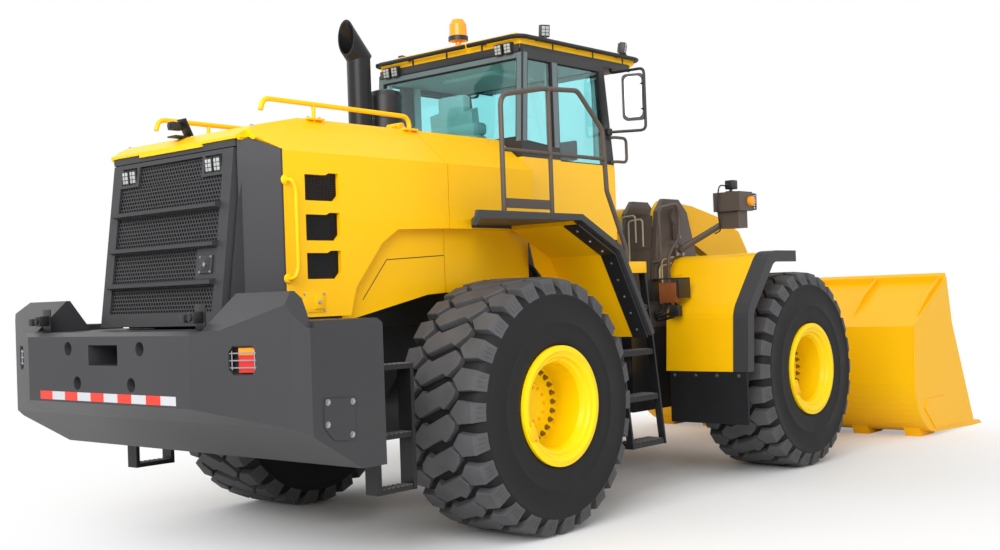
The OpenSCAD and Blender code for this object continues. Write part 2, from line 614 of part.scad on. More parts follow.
// Dark flares along the outer edge, turned in over the tyre
module fender_flares() color(grey) at_front() both() difference() {
    union() {
        plate_xz(band(-12, 25), flare_y, flare_y + 150);
        plate_xz(band(-12, 90), flare_y + 130, flare_y + 150);
    }
    block(fender_end, 1000, 0, 2000, 1000, 2500);
}
module fender_flaps() color(black) at_front() both()
    plate_xz([[-1135, 500], [-1135, 960], [-1110, 960], [-1110, 500]], 850, 1640);
module headlamps() color(bronze) at_front() both() {
    block(-690, -540, tower_y + 45, tower_y + 73, 2014, 2134);
    tube([[-610, tower_y + 69, 2074], [-370, 1010, 2310]], 30);
    // Base box and the lamp housing above it, open at the front
    block(-410, -240, 990, 1200, 2260, 2421);
    difference() {
        block(-450, -200, 960, 1240, 2420, 2600);
        block(-330, -100, 985, 1215, 2440, 2580);
    }
    block(-331, -230, 1010, 1190, 2430, 2560);
}

// Wheels, axis along Y, outer side towards +Y
// Tyre as rings of points from bead to bead, three to a pitch: a groove and the two ends of a tread block.
// Each ring is [across, radius in a groove, radius on a block], and the far side's blocks stand half a pitch on.
block_turn = atan(lug_half / lug_top);
tyre_half = let (bead = (rim_r + pin_gap) / cos(block_turn), foot = tyre_r - groove) [[325, bead, bead], [tyre_w / 2, rim_r + 75, rim_r + 75],
    [tyre_w / 2 - 28, tyre_r - 125, tyre_r - 18], [60, foot, tyre_r], [35, foot, foot]];
module tyre(x, s) color(black) translate([x, s * track / 2, axle_z]) {
    last = len(tyre_half) - 1;
    rings = concat([for (h = tyre_half) concat(h, 0)], [for (i = [last:-1:0]) let (h = tyre_half[i]) [-h[0], h[1], h[2], 0.5]]);
    n = 3 * pitches;
    points = [for (r = rings, k = [0:pitches - 1], j = [0:2])
        let (a = (k + r[3]) * 360 / pitches + [-180 / pitches, -block_turn, block_turn][j], d = j == 0 ? r[1] : r[2]) [d * sin(a), r[0], d * cos(a)]];
    at = function (i, k) (i % len(rings)) * n + k % n;
    polyhedron(points, [for (i = [0:len(rings) - 1], k = [0:n - 1], f = [[at(i, k), at(i + 1, k + 1), at(i + 1, k)], [at(i, k), at(i, k + 1), at(i + 1, k + 1)]]) f]);
}
module tyre_rear_left() tyre(rear_x, 1);
module tyre_rear_right() tyre(rear_x, -1);
module tyre_front_left() tyre(front_x, 1);
module tyre_front_right() tyre(front_x, -1);
module rim(x, s) color(yellow) translate([x, s * track / 2, axle_z]) rotate([s * -90, 0, 0]) rotate_extrude()
    polygon([[spindle_r + pin_gap, -120], [220, -120], [240, 30], [dish_r + 20, 30], [dish_r + 20, 265], [rim_r - 25, 290],
        [rim_r - 25, -375], [rim_r + 30, -385], [rim_r + 30, -360], [rim_r, -330], [rim_r, 330], [rim_r + 30, 360], [rim_r + 30, 385],
        [rim_r - 8, 392], [rim_r - 30, 374], [rim_r - 48, 370], [rim_r - 58, 348], [rim_r - 80, 338], [dish_r, 305], [dish_r, 85],
        [160, 85], [150, 114], [0, 114], [0, 20], [spindle_r + pin_gap, 20]]);
module rim_rear_left() rim(rear_x, 1);
module rim_rear_right() rim(rear_x, -1);
module rim_front_left() rim(front_x, 1);
module rim_front_right() rim(front_x, -1);

// Lift arms, joined by a cross tube that carries the bellcrank
cross_tube = [560, 1870];
module lift_arms() color(yellow) at_front() {
    difference() {
        union() {
            both() plate_xz([[-720, 2550], [-240, 2510], [330, 2400], [650, 2270], [800, 2080], [1150, 1490], [1430, 1000], [1700, 680],
                [1850, 560], [2060, 455], [2040, 225], [1940, 245], [1680, 330], [1300, 640], [930, 1150], [640, 1560], [250, 1930],
                [-300, 2170], [-650, 2220]],
                arm_y - arm_t / 2, arm_y + arm_t / 2);
            both() bar_y(arm_pin, 170, arm_y - arm_t / 2, arm_y + arm_t / 2);
            both() bar_y(bucket_pin, 120, arm_y - arm_t / 2, arm_y + arm_t / 2);
            both() bar_y(lift_eye, 75, arm_y - arm_t / 2 - 45, arm_y);
            both() bar_y(cross_tube, 140, 130, arm_y);
            both() link_plate(cross_tube, crank_pin, 160, 120, 130, 175);
            bar_y(crank_pin, pin_r, -175, 175);
        }
        for (p = [arm_pin, bucket_pin]) bar_y(p, pin_r + pin_gap, -900, 900);
    }
}
module bellcrank() color(yellow) at_front() difference() {
    union() {
        link_plate(crank_pin, crank_top, 150, 95, -60, 60);
        link_plate(crank_pin, crank_low, 150, 95, -60, 60);
    }
    bar_y(crank_pin, pin_r + pin_gap, -200, 200);
}
module tilt_link() color(yellow) at_front() difference() {
    union() {
        both() link_plate(crank_low, crank_low + 0.9 * (link_pin - crank_low), 80, 70, 60 + side_gap, 110);
        link_plate(crank_low + 0.75 * (link_pin - crank_low), link_pin, 70, 85, -68, 68);
    }
    bar_y(crank_low, 45, -200, 200);
    bar_y(link_pin, 45 + pin_gap, -200, 200);
}
// Bucket
side_front = [[3140, 1730], [3250, 1210], [bucket_lip - 250, 45], [bucket_lip - 300, 45]];
pad_t = 40;
function wrapper(t) = concat([[bucket_lip - 300, t], [2700, pad_t + t]], arc([2700, pad_t + 560], 560 - t, -90, -180, 12),
    [[2180 + t, 1215], [3140, 1730 - (t > 0 ? t + 5 : 0)]]);
module bucket() color(yellow) at_front() {
    half = bucket_w / 2;
    difference() {
        union() {
            difference() {
                plate_xz(concat(wrapper(0), side_front), -half, half);
                plate_xz(concat(wrapper(bucket_t), [[3400, 2200], [4500, 1500], [4500, bucket_t]]), -half + bucket_t, half - bucket_t);
            }
            both() for (y = [arm_y - arm_t / 2 - side_gap - 45, arm_y + arm_t / 2 + side_gap])
                plate_xz([[1930, 260], [1920, 400], [2165, 1000], [2175, 560], [2500, 40], [2000, 230]], y, y + 45);
            both() for (y = [arm_y - arm_t / 2 - side_gap - 45, arm_y + arm_t / 2 + side_gap]) bar_y(bucket_pin, 120, y, y + 45);
            both() link_plate(link_pin, [2240, 760], 95, 180, 110 + side_gap, 165);
            bar_y(link_pin, 45, -165, 165);
            // Wear pads, lip along the top and gussets behind the upper plate
            both() for (y = [250, 900, half - 280]) plate_xz([[2440, 130], [2500, 0], [2860, 0], [2900, 60]], y, y + 180);
            plate_xz([[3060, 1678], [3050, 1745], [3110, 1777], [3130, 1712]], -half, half);
            both() for (y = [330, 980, half - 60]) plate_xz([[2270, 1250], [2700, 1560], [3050, 1735], [3080, 1685]], y, y + 25);
            both() plate_xz([[2640, 80], [2360, 330], [2460, 420], [2900, 420], [3500, 70]], half - 20, half + 12);
        }
        plate_xz(concat(wrapper(bucket_t), [[3400, 2200], [4500, 1500], [4500, bucket_t]]), -half + bucket_t, half - bucket_t);
    }
    both() bar_y(bucket_pin, pin_r, arm_y - arm_t / 2 - side_gap - 45, arm_y + arm_t / 2 + side_gap + 45);
}
module cutting_edge() color(grey) at_front()
    plate_xz([[bucket_lip - 300, 0], [bucket_lip, 0], [bucket_lip - 90, 45], [bucket_lip - 300, 45]], -bucket_w / 2, bucket_w / 2);

// Cylinders, drawn along their own line between two pins
module along(a, b, y) translate([a[0], y, a[1]]) rotate([0, -atan2(b[1] - a[1], b[0] - a[0]), 0]) children();
module barrel(r, rod_r, l, eye_w, pin) difference() {
    union() {
        rotate([0, 90, 0]) cylinder(r = r, h = l);
        translate([0, eye_w / 2, 0]) rotate([90, 0, 0]) cylinder(r = r + 5, h = eye_w);
        translate([l - 60, 0, 0]) rotate([0, 90, 0]) cylinder(r = r + 8, h = 60);
    }
    rotate([90, 0, 0]) cylinder(r = pin + pin_gap, h = 400, center = true);
    translate([r + 60, 0, 0]) rotate([0, 90, 0]) cylinder(r = rod_r + pin_gap, h = l);
}
module rod(r, l, from, eye_r, eye_w, pin) difference() {
    union() {
        translate([from, 0, 0]) rotate([0, 90, 0]) cylinder(r = r, h = l - from);
        translate([l, eye_w / 2, 0]) rotate([90, 0, 0]) cylinder(r = eye_r, h = eye_w);
    }
    translate([l, 0, 0]) rotate([90, 0, 0]) cylinder(r = pin, h = 400, center = true);
}
lift_y = 390;
lift_l = norm(lift_eye - lift_base);
module lift_barrels() color(yellow) at_front() both()
    along(lift_base, lift_eye, lift_y) barrel(lift_bore_r, lift_rod_r, lift_l - 160, 150, 50);
module lift_rods() color("silver") at_front() both()
    along(lift_base, lift_eye, lift_y) rod(lift_rod_r, lift_l, 190, 90, 90, 50);
tilt_l = norm(crank_top - arm_pin);
module tilt_barrel() color(yellow) at_front()
    along(arm_pin, crank_top, 0) barrel(115, 60, 860, 220, pin_r);
module tilt_rod() color("silver") at_front() {
    along(arm_pin, crank_top, 0) difference() {
        union() {
            translate([640, 0, 0]) rotate([0, 90, 0]) cylinder(r = 60, h = tilt_l - 800);
            translate([tilt_l - 180, -140, -75]) cube([60, 280, 150]);
            both() translate([tilt_l - 130, 70 + side_gap, -75]) cube([130, 62, 150]);
            both() translate([tilt_l, 140, 0]) rotate([90, 0, 0]) cylinder(r = 75, h = 62);
        }
        translate([tilt_l, 0, 0]) rotate([90, 0, 0]) cylinder(r = 45, h = 600, center = true);
    }
}
module steer_along(s) at_pivot() side(s) translate([steer_base[0], steer_base[1], steer_z])
    rotate([0, 0, atan2(steer_eye[1] - steer_base[1], steer_eye[0] - steer_base[0])]) rotate([90, 0, 0]) children();
steer_l = norm(steer_eye - steer_base);
module steer_barrel(s) color(black) steer_along(s) barrel(65, 32, 770, 150, 35);
module steer_rod(s) color("silver") steer_along(s) rod(32, steer_l, 440, 60, 150, 35);
module steer_barrel_left() steer_barrel(1);
module steer_barrel_right() steer_barrel(-1);
module steer_rod_left() steer_rod(1);
module steer_rod_right() steer_rod(-1);

rear_chassis();
engine();
rear_axle();
counterweight();
rear_steps();
tail_lamps();
hood();
hood_rear();
hood_rails();
grille_door();
cooling_pack();
cowl();
exhaust_stack();
precleaner();
cab_shell();
cab_glass();
cab_roof();
roof_rail();
beacon();
cab_seat();
cab_console();
cab_door();
door_glass();
fender_rear_left();
fender_rear_right();
rail_left();
rail_right();
ladder_left();
ladder_right();
mirrors();
fender_liners();
front_chassis();
front_axle();
front_fenders();
fender_flares();
fender_flaps();
headlamps();
tyre_rear_left();
tyre_rear_right();
tyre_front_left();
tyre_front_right();
rim_rear_left();
rim_rear_right();
rim_front_left();
rim_front_right();
lift_arms();
bellcrank();
tilt_link();
bucket();
cutting_edge();
lift_barrels();
lift_rods();
tilt_barrel();
tilt_rod();
steer_barrel_left();
steer_barrel_right();
steer_rod_left();
steer_rod_right();
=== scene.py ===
import bpy
import bmesh
from math import sin, cos, pi, radians, hypot
from mathutils import Vector, Matrix


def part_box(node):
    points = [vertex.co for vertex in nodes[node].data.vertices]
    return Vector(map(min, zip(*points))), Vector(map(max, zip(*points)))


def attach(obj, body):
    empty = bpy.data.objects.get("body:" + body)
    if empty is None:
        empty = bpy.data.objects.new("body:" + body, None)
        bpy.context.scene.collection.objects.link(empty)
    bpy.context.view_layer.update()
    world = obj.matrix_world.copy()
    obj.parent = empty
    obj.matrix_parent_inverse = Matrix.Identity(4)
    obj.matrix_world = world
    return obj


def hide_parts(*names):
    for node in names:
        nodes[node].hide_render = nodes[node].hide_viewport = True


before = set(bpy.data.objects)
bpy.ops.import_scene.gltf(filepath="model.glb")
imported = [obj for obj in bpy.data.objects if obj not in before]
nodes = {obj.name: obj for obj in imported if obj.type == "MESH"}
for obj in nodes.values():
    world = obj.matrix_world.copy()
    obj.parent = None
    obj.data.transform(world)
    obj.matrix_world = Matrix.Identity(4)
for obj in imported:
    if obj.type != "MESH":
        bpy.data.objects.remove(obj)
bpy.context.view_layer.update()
scene = bpy.context.scene

# places that the pieces are measured from, all in metres
rearAxleX = sum(corner.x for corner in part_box("rim_rear_left")) / 2
frontAxleX = sum(corner.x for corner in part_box("rim_front_left")) / 2
axleZ = sum(corner.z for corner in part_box("rim_rear_left")) / 2
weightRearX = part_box("counterweight")[0].x
bothSides = (-1, 1)  # right, left
upward = (0, 0, 1)


def rear(x, y, z):
    return Vector((rearAxleX + x, y, z))


def front(x, y, z):
    return Vector((frontAxleX + x, y, z))


def mirrored(at, side):
    # the same measures on the right or the left of the machine
    return lambda x, y, z: at(x, side * y, z)


def measuredFrom(at, x, y, z):
    # measures taken from a place of a small fitting
    return lambda dx, dy, dz: at(x + dx, y + dy, z + dz)


def hexToLinear(code):
    parts = [int(code[i:i + 2], 16) / 255 for i in (1, 3, 5)]
    return tuple(p / 12.92 if p <= 0.04045 else ((p + 0.055) / 1.055) ** 2.4 for p in parts) + (1.0,)


def addNode(tree, kind, inputs=None, links=None, **settings):
    node = tree.nodes.new(kind)
    for key, value in settings.items():
        setattr(node, key, value)
    for key, value in (inputs or {}).items():
        node.inputs[key].default_value = value
    for key, (source, output) in (links or {}).items():
        tree.links.new(source.outputs[output], node.inputs[key])
    return node


def startMaterial(name, **sockets):
    material = bpy.data.materials.new(name)
    material.use_nodes = True
    tree = material.node_tree
    shader = tree.nodes["Principled BSDF"]
    for key, value in sockets.items():
        shader.inputs[key.replace("_", " ")].default_value = value
    return material, tree, shader


def grainedFinish(name, colours, gloss, patternMm, detail, relief=None, **sockets):
    # one pattern moves colour and roughness together, and a second one may raise the surface
    material, tree, shader = startMaterial(name, **sockets)
    place = addNode(tree, "ShaderNodeTexCoord")
    pattern = addNode(tree, "ShaderNodeTexNoise", {"Scale": 1000 / patternMm, "Detail": detail},
                      {"Vector": (place, "Object")})
    tint = addNode(tree, "ShaderNodeMix", {6: hexToLinear(colours[0]), 7: hexToLinear(colours[1])},
                   {0: (pattern, "Fac")}, data_type="RGBA")
    spread = addNode(tree, "ShaderNodeMapRange", {"To Min": gloss[0], "To Max": gloss[1]},
                     {"Value": (pattern, "Fac")})
    tree.links.new(tint.outputs[2], shader.inputs["Base Color"])
    tree.links.new(spread.outputs[0], shader.inputs["Roughness"])
    if relief:
        raised = addNode(tree, "ShaderNodeTexNoise", {"Scale": 1000 / relief["mm"], "Detail": relief["detail"]},
                         {"Vector": (place, "Object")})
        bump = addNode(tree, "ShaderNodeBump", {"Strength": relief["strength"], "Distance": relief["depth"]},
                       {"Height": (raised, "Fac")})
        tree.links.new(bump.outputs[0], shader.inputs["Normal"])
    return material


def sprayedEnamel(name, colour, shade, roughness, coat, peelMm=9, peelDepth=0.0002):
    # two-pack enamel sprayed on steel plate: an even gloss with orange peel, a little cloudier in broad patches
    # the peel is about 2 mm on the real paint and is drawn coarser so that it shows
    return grainedFinish(name, (colour, shade), (roughness - 0.06, roughness + 0.08), 900, 3.0,
                         {"mm": peelMm, "detail": 2.0, "strength": 0.25, "depth": peelDepth},
                         Coat_Weight=coat, Coat_Roughness=0.12, Specular_IOR_Level=0.22)


def mouldedRubber(name, colour, dust, grainMm, roughness):
    # vulcanised rubber from a steel mould: matt black, fine pores, pale dust in broad patches
    return grainedFinish(name, (colour, dust), (roughness - 0.1, roughness + 0.12), 160, 5.0,
                         {"mm": grainMm, "detail": 6.0, "strength": 0.3, "depth": 0.002}, Specular_IOR_Level=0.25)


def mouldedPlastic(name, colour, shade, roughness):
    # injection moulded ABS or lamp polycarbonate: even colour with a faint spark-eroded grain
    # the grain is under 1 mm on the real plastic and is drawn at 4 mm so that it shows
    return grainedFinish(name, (colour, shade), (roughness - 0.05, roughness + 0.07), 4, 3.0,
                         {"mm": 4, "detail": 3.0, "strength": 0.15, "depth": 0.001}, IOR=1.53)


def millFinish(name, colour, shade, roughness, grainMm):
    # bare or plated steel: bright, with fine marks of grinding or handling
    return grainedFinish(name, (colour, shade), (roughness - 0.06, roughness + 0.1), grainMm, 5.0, Metallic=1.0)


def floatGlass(name, colour):
    # tempered float glass with a green body tint, smooth on both faces, with a slow roll of 400 mm
    material, tree, shader = startMaterial(name, IOR=1.5, Transmission_Weight=1.0, Base_Color=hexToLinear(colour))
    place = addNode(tree, "ShaderNodeTexCoord")
    roll = addNode(tree, "ShaderNodeTexNoise", {"Scale": 1000 / 400, "Detail": 1.0}, {"Vector": (place, "Object")})
    gloss = addNode(tree, "ShaderNodeMapRange", {"To Min": 0.01, "To Max": 0.03}, {"Value": (roll, "Fac")})
    tree.links.new(gloss.outputs[0], shader.inputs["Roughness"])
    return material


def twoTone(name, lower, upper, splitZ, roughness, coat):
    # one piece in two colours that meet at a height: steel masked and sprayed twice, or a lens moulded in two shots
    material, tree, shader = startMaterial(name, Coat_Weight=coat)
    place = addNode(tree, "ShaderNodeTexCoord")
    axes = addNode(tree, "ShaderNodeSeparateXYZ", None, {"Vector": (place, "Object")})
    above = addNode(tree, "ShaderNodeMath", {1: splitZ}, {0: (axes, "Z")}, operation="GREATER_THAN")
    cloud = addNode(tree, "ShaderNodeTexNoise", {"Scale": 1000 / 900, "Detail": 3.0}, {"Vector": (place, "Object")})
    tint = addNode(tree, "ShaderNodeMix", {6: hexToLinear(lower), 7: hexToLinear(upper)}, {0: (above, 0)},
                   data_type="RGBA")
    gloss = addNode(tree, "ShaderNodeMapRange", {"To Min": roughness - 0.05, "To Max": roughness + 0.06},
                    {"Value": (cloud, "Fac")})
    tree.links.new(tint.outputs[2], shader.inputs["Base Color"])
    tree.links.new(gloss.outputs[0], shader.inputs["Roughness"])
    return material


# paints: the warm body colour, the same yellow drawn lighter in the dished rims as painted light against the shade in
# the dish, and dark coats that only shine at the edges
yellowEnamel = sprayedEnamel("yellowEnamel", "#ffc300", "#fdbd00", 0.42, 0.06)
# painted light: the body's yellow made lighter to make up for the shade that falls in the rims' dish
rimPaintedLightEnamel = sprayedEnamel("rimPaintedLightEnamel", "#ffd800", "#fdd200", 0.42, 0.06)
charcoalEnamel = sprayedEnamel("charcoalEnamel", "#343436", "#3c3c3e", 0.5, 0.08, peelMm=6, peelDepth=0.0005)
blackEnamel = sprayedEnamel("blackEnamel", "#19191b", "#212123", 0.42, 0.12, peelMm=6, peelDepth=0.0003)
# painted reflection: dark grey paint drawn brown with the warm light thrown off the yellow parts
greyWithPaintedWarmReflection = sprayedEnamel("greyWithPaintedWarmReflection", "#50463f", "#5b5048", 0.42, 0.12, peelMm=6, peelDepth=0.0003)
engineEnamel = sprayedEnamel("engineEnamel", "#5e6265", "#4d5154", 0.55, 0.0)
radiatorPaintedShade = sprayedEnamel("radiatorPaintedShade", "#060607", "#09090a", 0.6, 0.0)  # black paint drawn near black as painted shade, so that holes look into the dark
stepGrey = sprayedEnamel("stepGrey", "#6a6a6c", "#747476", 0.55, 0.0)  # worn treads, paler than their frame
# two colours on one piece: yellow under the cab's sills, red under amber, and on the tower black under dark grey with a
# painted warm reflection of the yellow parts
cabEnamel = twoTone("cabEnamel", "#ffc300", "#1b1b1d", 2.80, 0.42, 0.06)
tailLens = twoTone("tailLens", "#d4190c", "#ff9a08", 1.412, 0.18, 0.6)
# the tower's upper colour is the same dark grey with a painted warm reflection
towerEnamel = twoTone("towerEnamel", "#19191b", "#50463f", 1.36, 0.42, 0.12)
# rubbers: near-black sidewalls, and tread blocks drawn lighter than the same rubber as painted light, so that the
# darker groove floors between them stand for shade
tyreRubber = mouldedRubber("tyreRubber", "#131315", "#1c1c1e", 5, 0.62)
treadPaintedLightRubber = mouldedRubber("treadPaintedLightRubber", "#424244", "#5c5c5e", 6, 0.66)
flapRubber = mouldedRubber("flapRubber", "#141416", "#1e1e21", 4, 0.6)
# plastics and thick coats, with a soft sheen and no metal in it
blackAbs = mouldedPlastic("blackAbs", "#161618", "#1d1d20", 0.45)
# painted light: the seat drawn paler than it is, for the lamp light that the glass keeps out of the cab
seatVinylPaintedLight = mouldedPlastic("seatVinylPaintedLight", "#ccd1cf", "#d5dad8", 0.6)
liningPaintedLight = mouldedPlastic("liningPaintedLight", "#e3e8e7", "#d8dddc", 0.6)  # painted light: drawn paler than the lining is, for the lamp light that the glass keeps out of the cab
amberLens = mouldedPlastic("amberLens", "#ffa60a", "#f79a04", 0.18)
clearLens = mouldedPlastic("clearLens", "#b4b8b6", "#a2a6a4", 0.16)
bondedGlass = mouldedPlastic("bondedGlass", "#5d6d70", "#56666a", 0.1)  # glass glued on steel: smooth, not seen through
creamPipe = mouldedPlastic("creamPipe", "#b9a98c", "#a8987c", 0.4)  # powder coated pipe, pale on the dark tower
yellowZinc = mouldedPlastic("yellowZinc", "#8f6f33", "#7c5f2a", 0.35)  # chromate on studs, dull brown gold
primerBrown = mouldedPlastic("primerBrown", "#8a4a1e", "#7b4119", 0.45)  # red oxide primer on a cast block
whiteTape = mouldedPlastic("whiteTape", "#c4c6ca", "#b4b6ba", 0.3)
redTape = mouldedPlastic("redTape", "#f02d10", "#e0260c", 0.3)
# bright metals: mirror-like rods, duller plated screws, and a silvered glass
hardChrome = millFinish("hardChrome", "#d8dadd", "#c4c7ca", 0.16, 2)
zincPlate = millFinish("zincPlate", "#b9bcc0", "#94989c", 0.32, 3)
mirrorGlass = millFinish("mirrorGlass", "#8d9397", "#81878c", 0.07, 40)
cabGlass = floatGlass("cabGlass", "#bff3f5")

nodeFinish = {
    yellowEnamel: ["hood", "hood_rails", "cowl", "cab_roof", "front_fenders", "lift_arms", "bellcrank",
                   "tilt_link", "bucket", "cutting_edge", "lift_barrels", "tilt_barrel", "fender_liners"],
    rimPaintedLightEnamel: ["rim_rear_left", "rim_rear_right", "rim_front_left", "rim_front_right"],
    charcoalEnamel: ["rear_chassis", "rear_axle", "counterweight", "hood_rear", "grille_door", "fender_rear_left",
                     "fender_rear_right", "front_axle", "fender_flares"],
    blackEnamel: ["rear_steps", "exhaust_stack", "roof_rail", "ladder_left", "ladder_right", "steer_barrel_left",
                  "steer_barrel_right"],
    greyWithPaintedWarmReflection: ["rail_left", "rail_right", "headlamps"],
    towerEnamel: ["front_chassis"],
    engineEnamel: ["engine"],
    radiatorPaintedShade: ["cooling_pack"],
    cabEnamel: ["cab_shell", "cab_door"],
    cabGlass: ["cab_glass", "door_glass"],
    blackAbs: ["precleaner", "cab_console", "mirrors"],
    seatVinylPaintedLight: ["cab_seat"],
    amberLens: ["beacon"],
    tailLens: ["tail_lamps"],
    flapRubber: ["fender_flaps"],
    tyreRubber: ["tyre_rear_left", "tyre_rear_right", "tyre_front_left", "tyre_front_right"],
    hardChrome: ["lift_rods", "tilt_rod", "steer_rod_left", "steer_rod_right"],
}
for material, names in nodeFinish.items():
    for name in names:
        nodes[name].data.materials.clear()
        nodes[name].data.materials.append(material)
print("finishes on", sum(len(names) for names in nodeFinish.values()), "CAD nodes")


def finishPiece(name, bm, material, body):
    bmesh.ops.recalc_face_normals(bm, faces=bm.faces)
    mesh = bpy.data.meshes.new(name)
    bm.to_mesh(mesh)
    bm.free()
    mesh.shade_smooth()
    mesh.set_sharp_from_angle(angle=radians(32))
    piece = bpy.data.objects.new(name, mesh)
    scene.collection.objects.link(piece)
    mesh.materials.append(material)
    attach(piece, body)
    return piece


def finishPieces(body, *rows):
    for name, bm, material, slot in rows:
        finishPiece(name, bm, material, body)


def newMeshes(count):
    return [bmesh.new() for _ in range(count)]


def addBox(bm, low, high, bevel=0.0, turn=None):
    # box between two corners, edges broken by the bevel, turned about its own middle
    low, high = Vector(low), Vector(high)
    made = bmesh.ops.create_cube(bm, size=1.0)["verts"]
    bmesh.ops.scale(bm, vec=high - low, verts=made)
    if bevel:
        edges = list({e for v in made for e in v.link_edges})
        faces = bmesh.ops.bevel(bm, geom=edges, offset=bevel, segments=2, affect="EDGES", profile=0.5)["faces"]
        made = list({v for f in faces for v in f.verts} | {v for v in made if v.is_valid})
    if turn:
        bmesh.ops.rotate(bm, matrix=turn, verts=made)
    bmesh.ops.translate(bm, vec=(low + high) / 2, verts=made)


def addSpan(bm, at, xs, ys, zs, bevel=0.0):
    # box between measured limits, on either side of the machine
    corners = list(zip(*(at(*corner) for corner in zip(xs, ys, zs))))
    addBox(bm, [min(pair) for pair in corners], [max(pair) for pair in corners], bevel)


def addSpans(bm, at, boxes):
    for box in boxes:
        addSpan(bm, at, *box)


def addOriented(bm, centre, along, up, size, bevel=0.0):
    # box whose length runs along one direction and whose height points up another
    along = Vector(along).normalized()
    up = (Vector(up) - along * Vector(up).dot(along)).normalized()
    turn = Matrix((along, up.cross(along), up)).transposed()
    half = Vector(size) / 2
    addBox(bm, Vector(centre) - half, Vector(centre) + half, bevel, turn)


def addTube(bm, points, radius, sides=10):
    # round bar through the points, turned so that it doesn't twist
    points = [Vector(p) for p in points]
    rings, side = [], None
    for i, p in enumerate(points):
        ahead = (points[min(i + 1, len(points) - 1)] - points[max(i - 1, 0)]).normalized()
        if side is None:
            side = ahead.cross(Vector((0.31, 0.2, 0.93))).normalized()
        side = (side - ahead * side.dot(ahead)).normalized()
        up = ahead.cross(side)
        rings.append([bm.verts.new(p + radius * (cos(2 * pi * k / sides) * side + sin(2 * pi * k / sides) * up))
                      for k in range(sides)])
    for a, b in zip(rings, rings[1:]):
        for k in range(sides):
            bm.faces.new((a[k], a[(k + 1) % sides], b[(k + 1) % sides], b[k]))
    bm.faces.new(rings[0][::-1])
    bm.faces.new(rings[-1])


def roundRoute(points, radius, steps):
    # the route with its inner corners rounded
    out = [points[0]]
    for a, b, c in zip(points, points[1:], points[2:]):
        u, v = (a - b).normalized(), (c - b).normalized()
        reach = min(radius, (a - b).length * 0.48, (c - b).length * 0.48)
        start, end = b + u * reach, b + v * reach
        out += [start.lerp(b, t).lerp(b.lerp(end, t), t) for t in (k / steps for k in range(steps + 1))]
    return out + [points[-1]]


def addBar(bm, at, places, radius, sides=8):
    addTube(bm, [at(*place) for place in places], radius, sides)


def addRoute(bm, at, places, bend, radius, sides=10, steps=5):
    # bar through measured places, bent round its corners
    addTube(bm, roundRoute([at(*place) for place in places], bend, steps), radius, sides)


def addRevolve(bm, profile, centre, axis, steps, closed=False):
    # profile of (distance along the axis, radius)
    axis = Vector(axis).normalized()
    side = axis.orthogonal().normalized()
    up = axis.cross(side)
    rings = []
    for k in range(steps):
        out = cos(2 * pi * k / steps) * side + sin(2 * pi * k / steps) * up
        rings.append([bm.verts.new(Vector(centre) + axis * along + out * radius) for along, radius in profile])
    count = len(profile)
    for k in range(steps):
        a, b = rings[k], rings[(k + 1) % steps]
        for i in range(count if closed else count - 1):
            j = (i + 1) % count
            bm.faces.new((a[i], a[j], b[j], b[i]))
    if not closed:
        for i in (0, count - 1):
            bm.faces.new([ring[i] for ring in rings])


def addHexHead(bm, place, direction, across, height, washer=True):
    # hexagon bolt head on its washer
    direction = Vector(direction).normalized()
    turn = direction.to_track_quat("Z", "Y").to_matrix().to_4x4()
    rounds = [(6, across * 0.577, across * 0.52, height, height * 0.6)]
    if washer:
        rounds.insert(0, (16, across * 0.78, across * 0.78, height * 0.3, height * 0.15))
    for segments, lowR, highR, depth, middle in rounds:
        bmesh.ops.create_cone(bm, cap_ends=True, segments=segments, radius1=lowR, radius2=highR, depth=depth,
                              matrix=Matrix.Translation(Vector(place) + direction * middle) @ turn)


def addScrews(bm, spots, direction, across=0.024, height=0.012):
    for spot in spots:
        addHexHead(bm, spot, direction, across, height)


def addPrism(bm, outline, depth):
    # closed plate from an outline of points, pushed along the depth vector
    low = [bm.verts.new(p) for p in outline]
    high = [bm.verts.new(Vector(p) + Vector(depth)) for p in outline]
    bm.faces.new(low)
    bm.faces.new(high[::-1])
    for i in range(len(low)):
        j = (i + 1) % len(low)
        bm.faces.new((low[i], low[j], high[j], high[i]))


def addSidePlate(bm, at, outline, near, far):
    # upright plate along the machine, of an (x, z) outline between two distances across
    addPrism(bm, [at(x, near, z) for x, z in outline], at(0, far, 0) - at(0, near, 0))


def roundedBox(width, height, radius, steps=4):
    # outline of a rectangle with round corners about its middle
    out = []
    for cx, cy, start in ((1, 1, 0), (-1, 1, 90), (-1, -1, 180), (1, -1, 270)):
        for k in range(steps + 1):
            a = radians(start + 90 * k / steps)
            out.append((cx * (width / 2 - radius) + radius * cos(a), cy * (height / 2 - radius) + radius * sin(a)))
    return out


def addWorkLamp(housing, lens, place, facing, width, height, depth):
    # square work lamp: finned housing, one lens and the bars that divide it
    facing = Vector(facing).normalized()
    up = Vector(upward)
    up = (up - facing * up.dot(facing)).normalized()
    sideways = facing.cross(up)
    addOriented(housing, place - facing * depth / 2, facing, up, (depth, width, height), 0.006)
    for k in range(4):
        fin = place - facing * (depth + 0.008) + sideways * width * (k - 1.5) * 0.22
        addOriented(housing, fin, facing, up, (0.016, 0.005, height * 0.8))
    addOriented(lens, place + facing * 0.001, facing, up, (0.008, width * 0.76, height * 0.78), 0.003)
    addOriented(housing, place + facing * 0.003, facing, up, (0.008, 0.004, height * 0.8))
    for b in (-0.14, 0.14):
        addOriented(housing, place + facing * 0.003 + up * b * height, facing, up, (0.008, width * 0.78, 0.004))


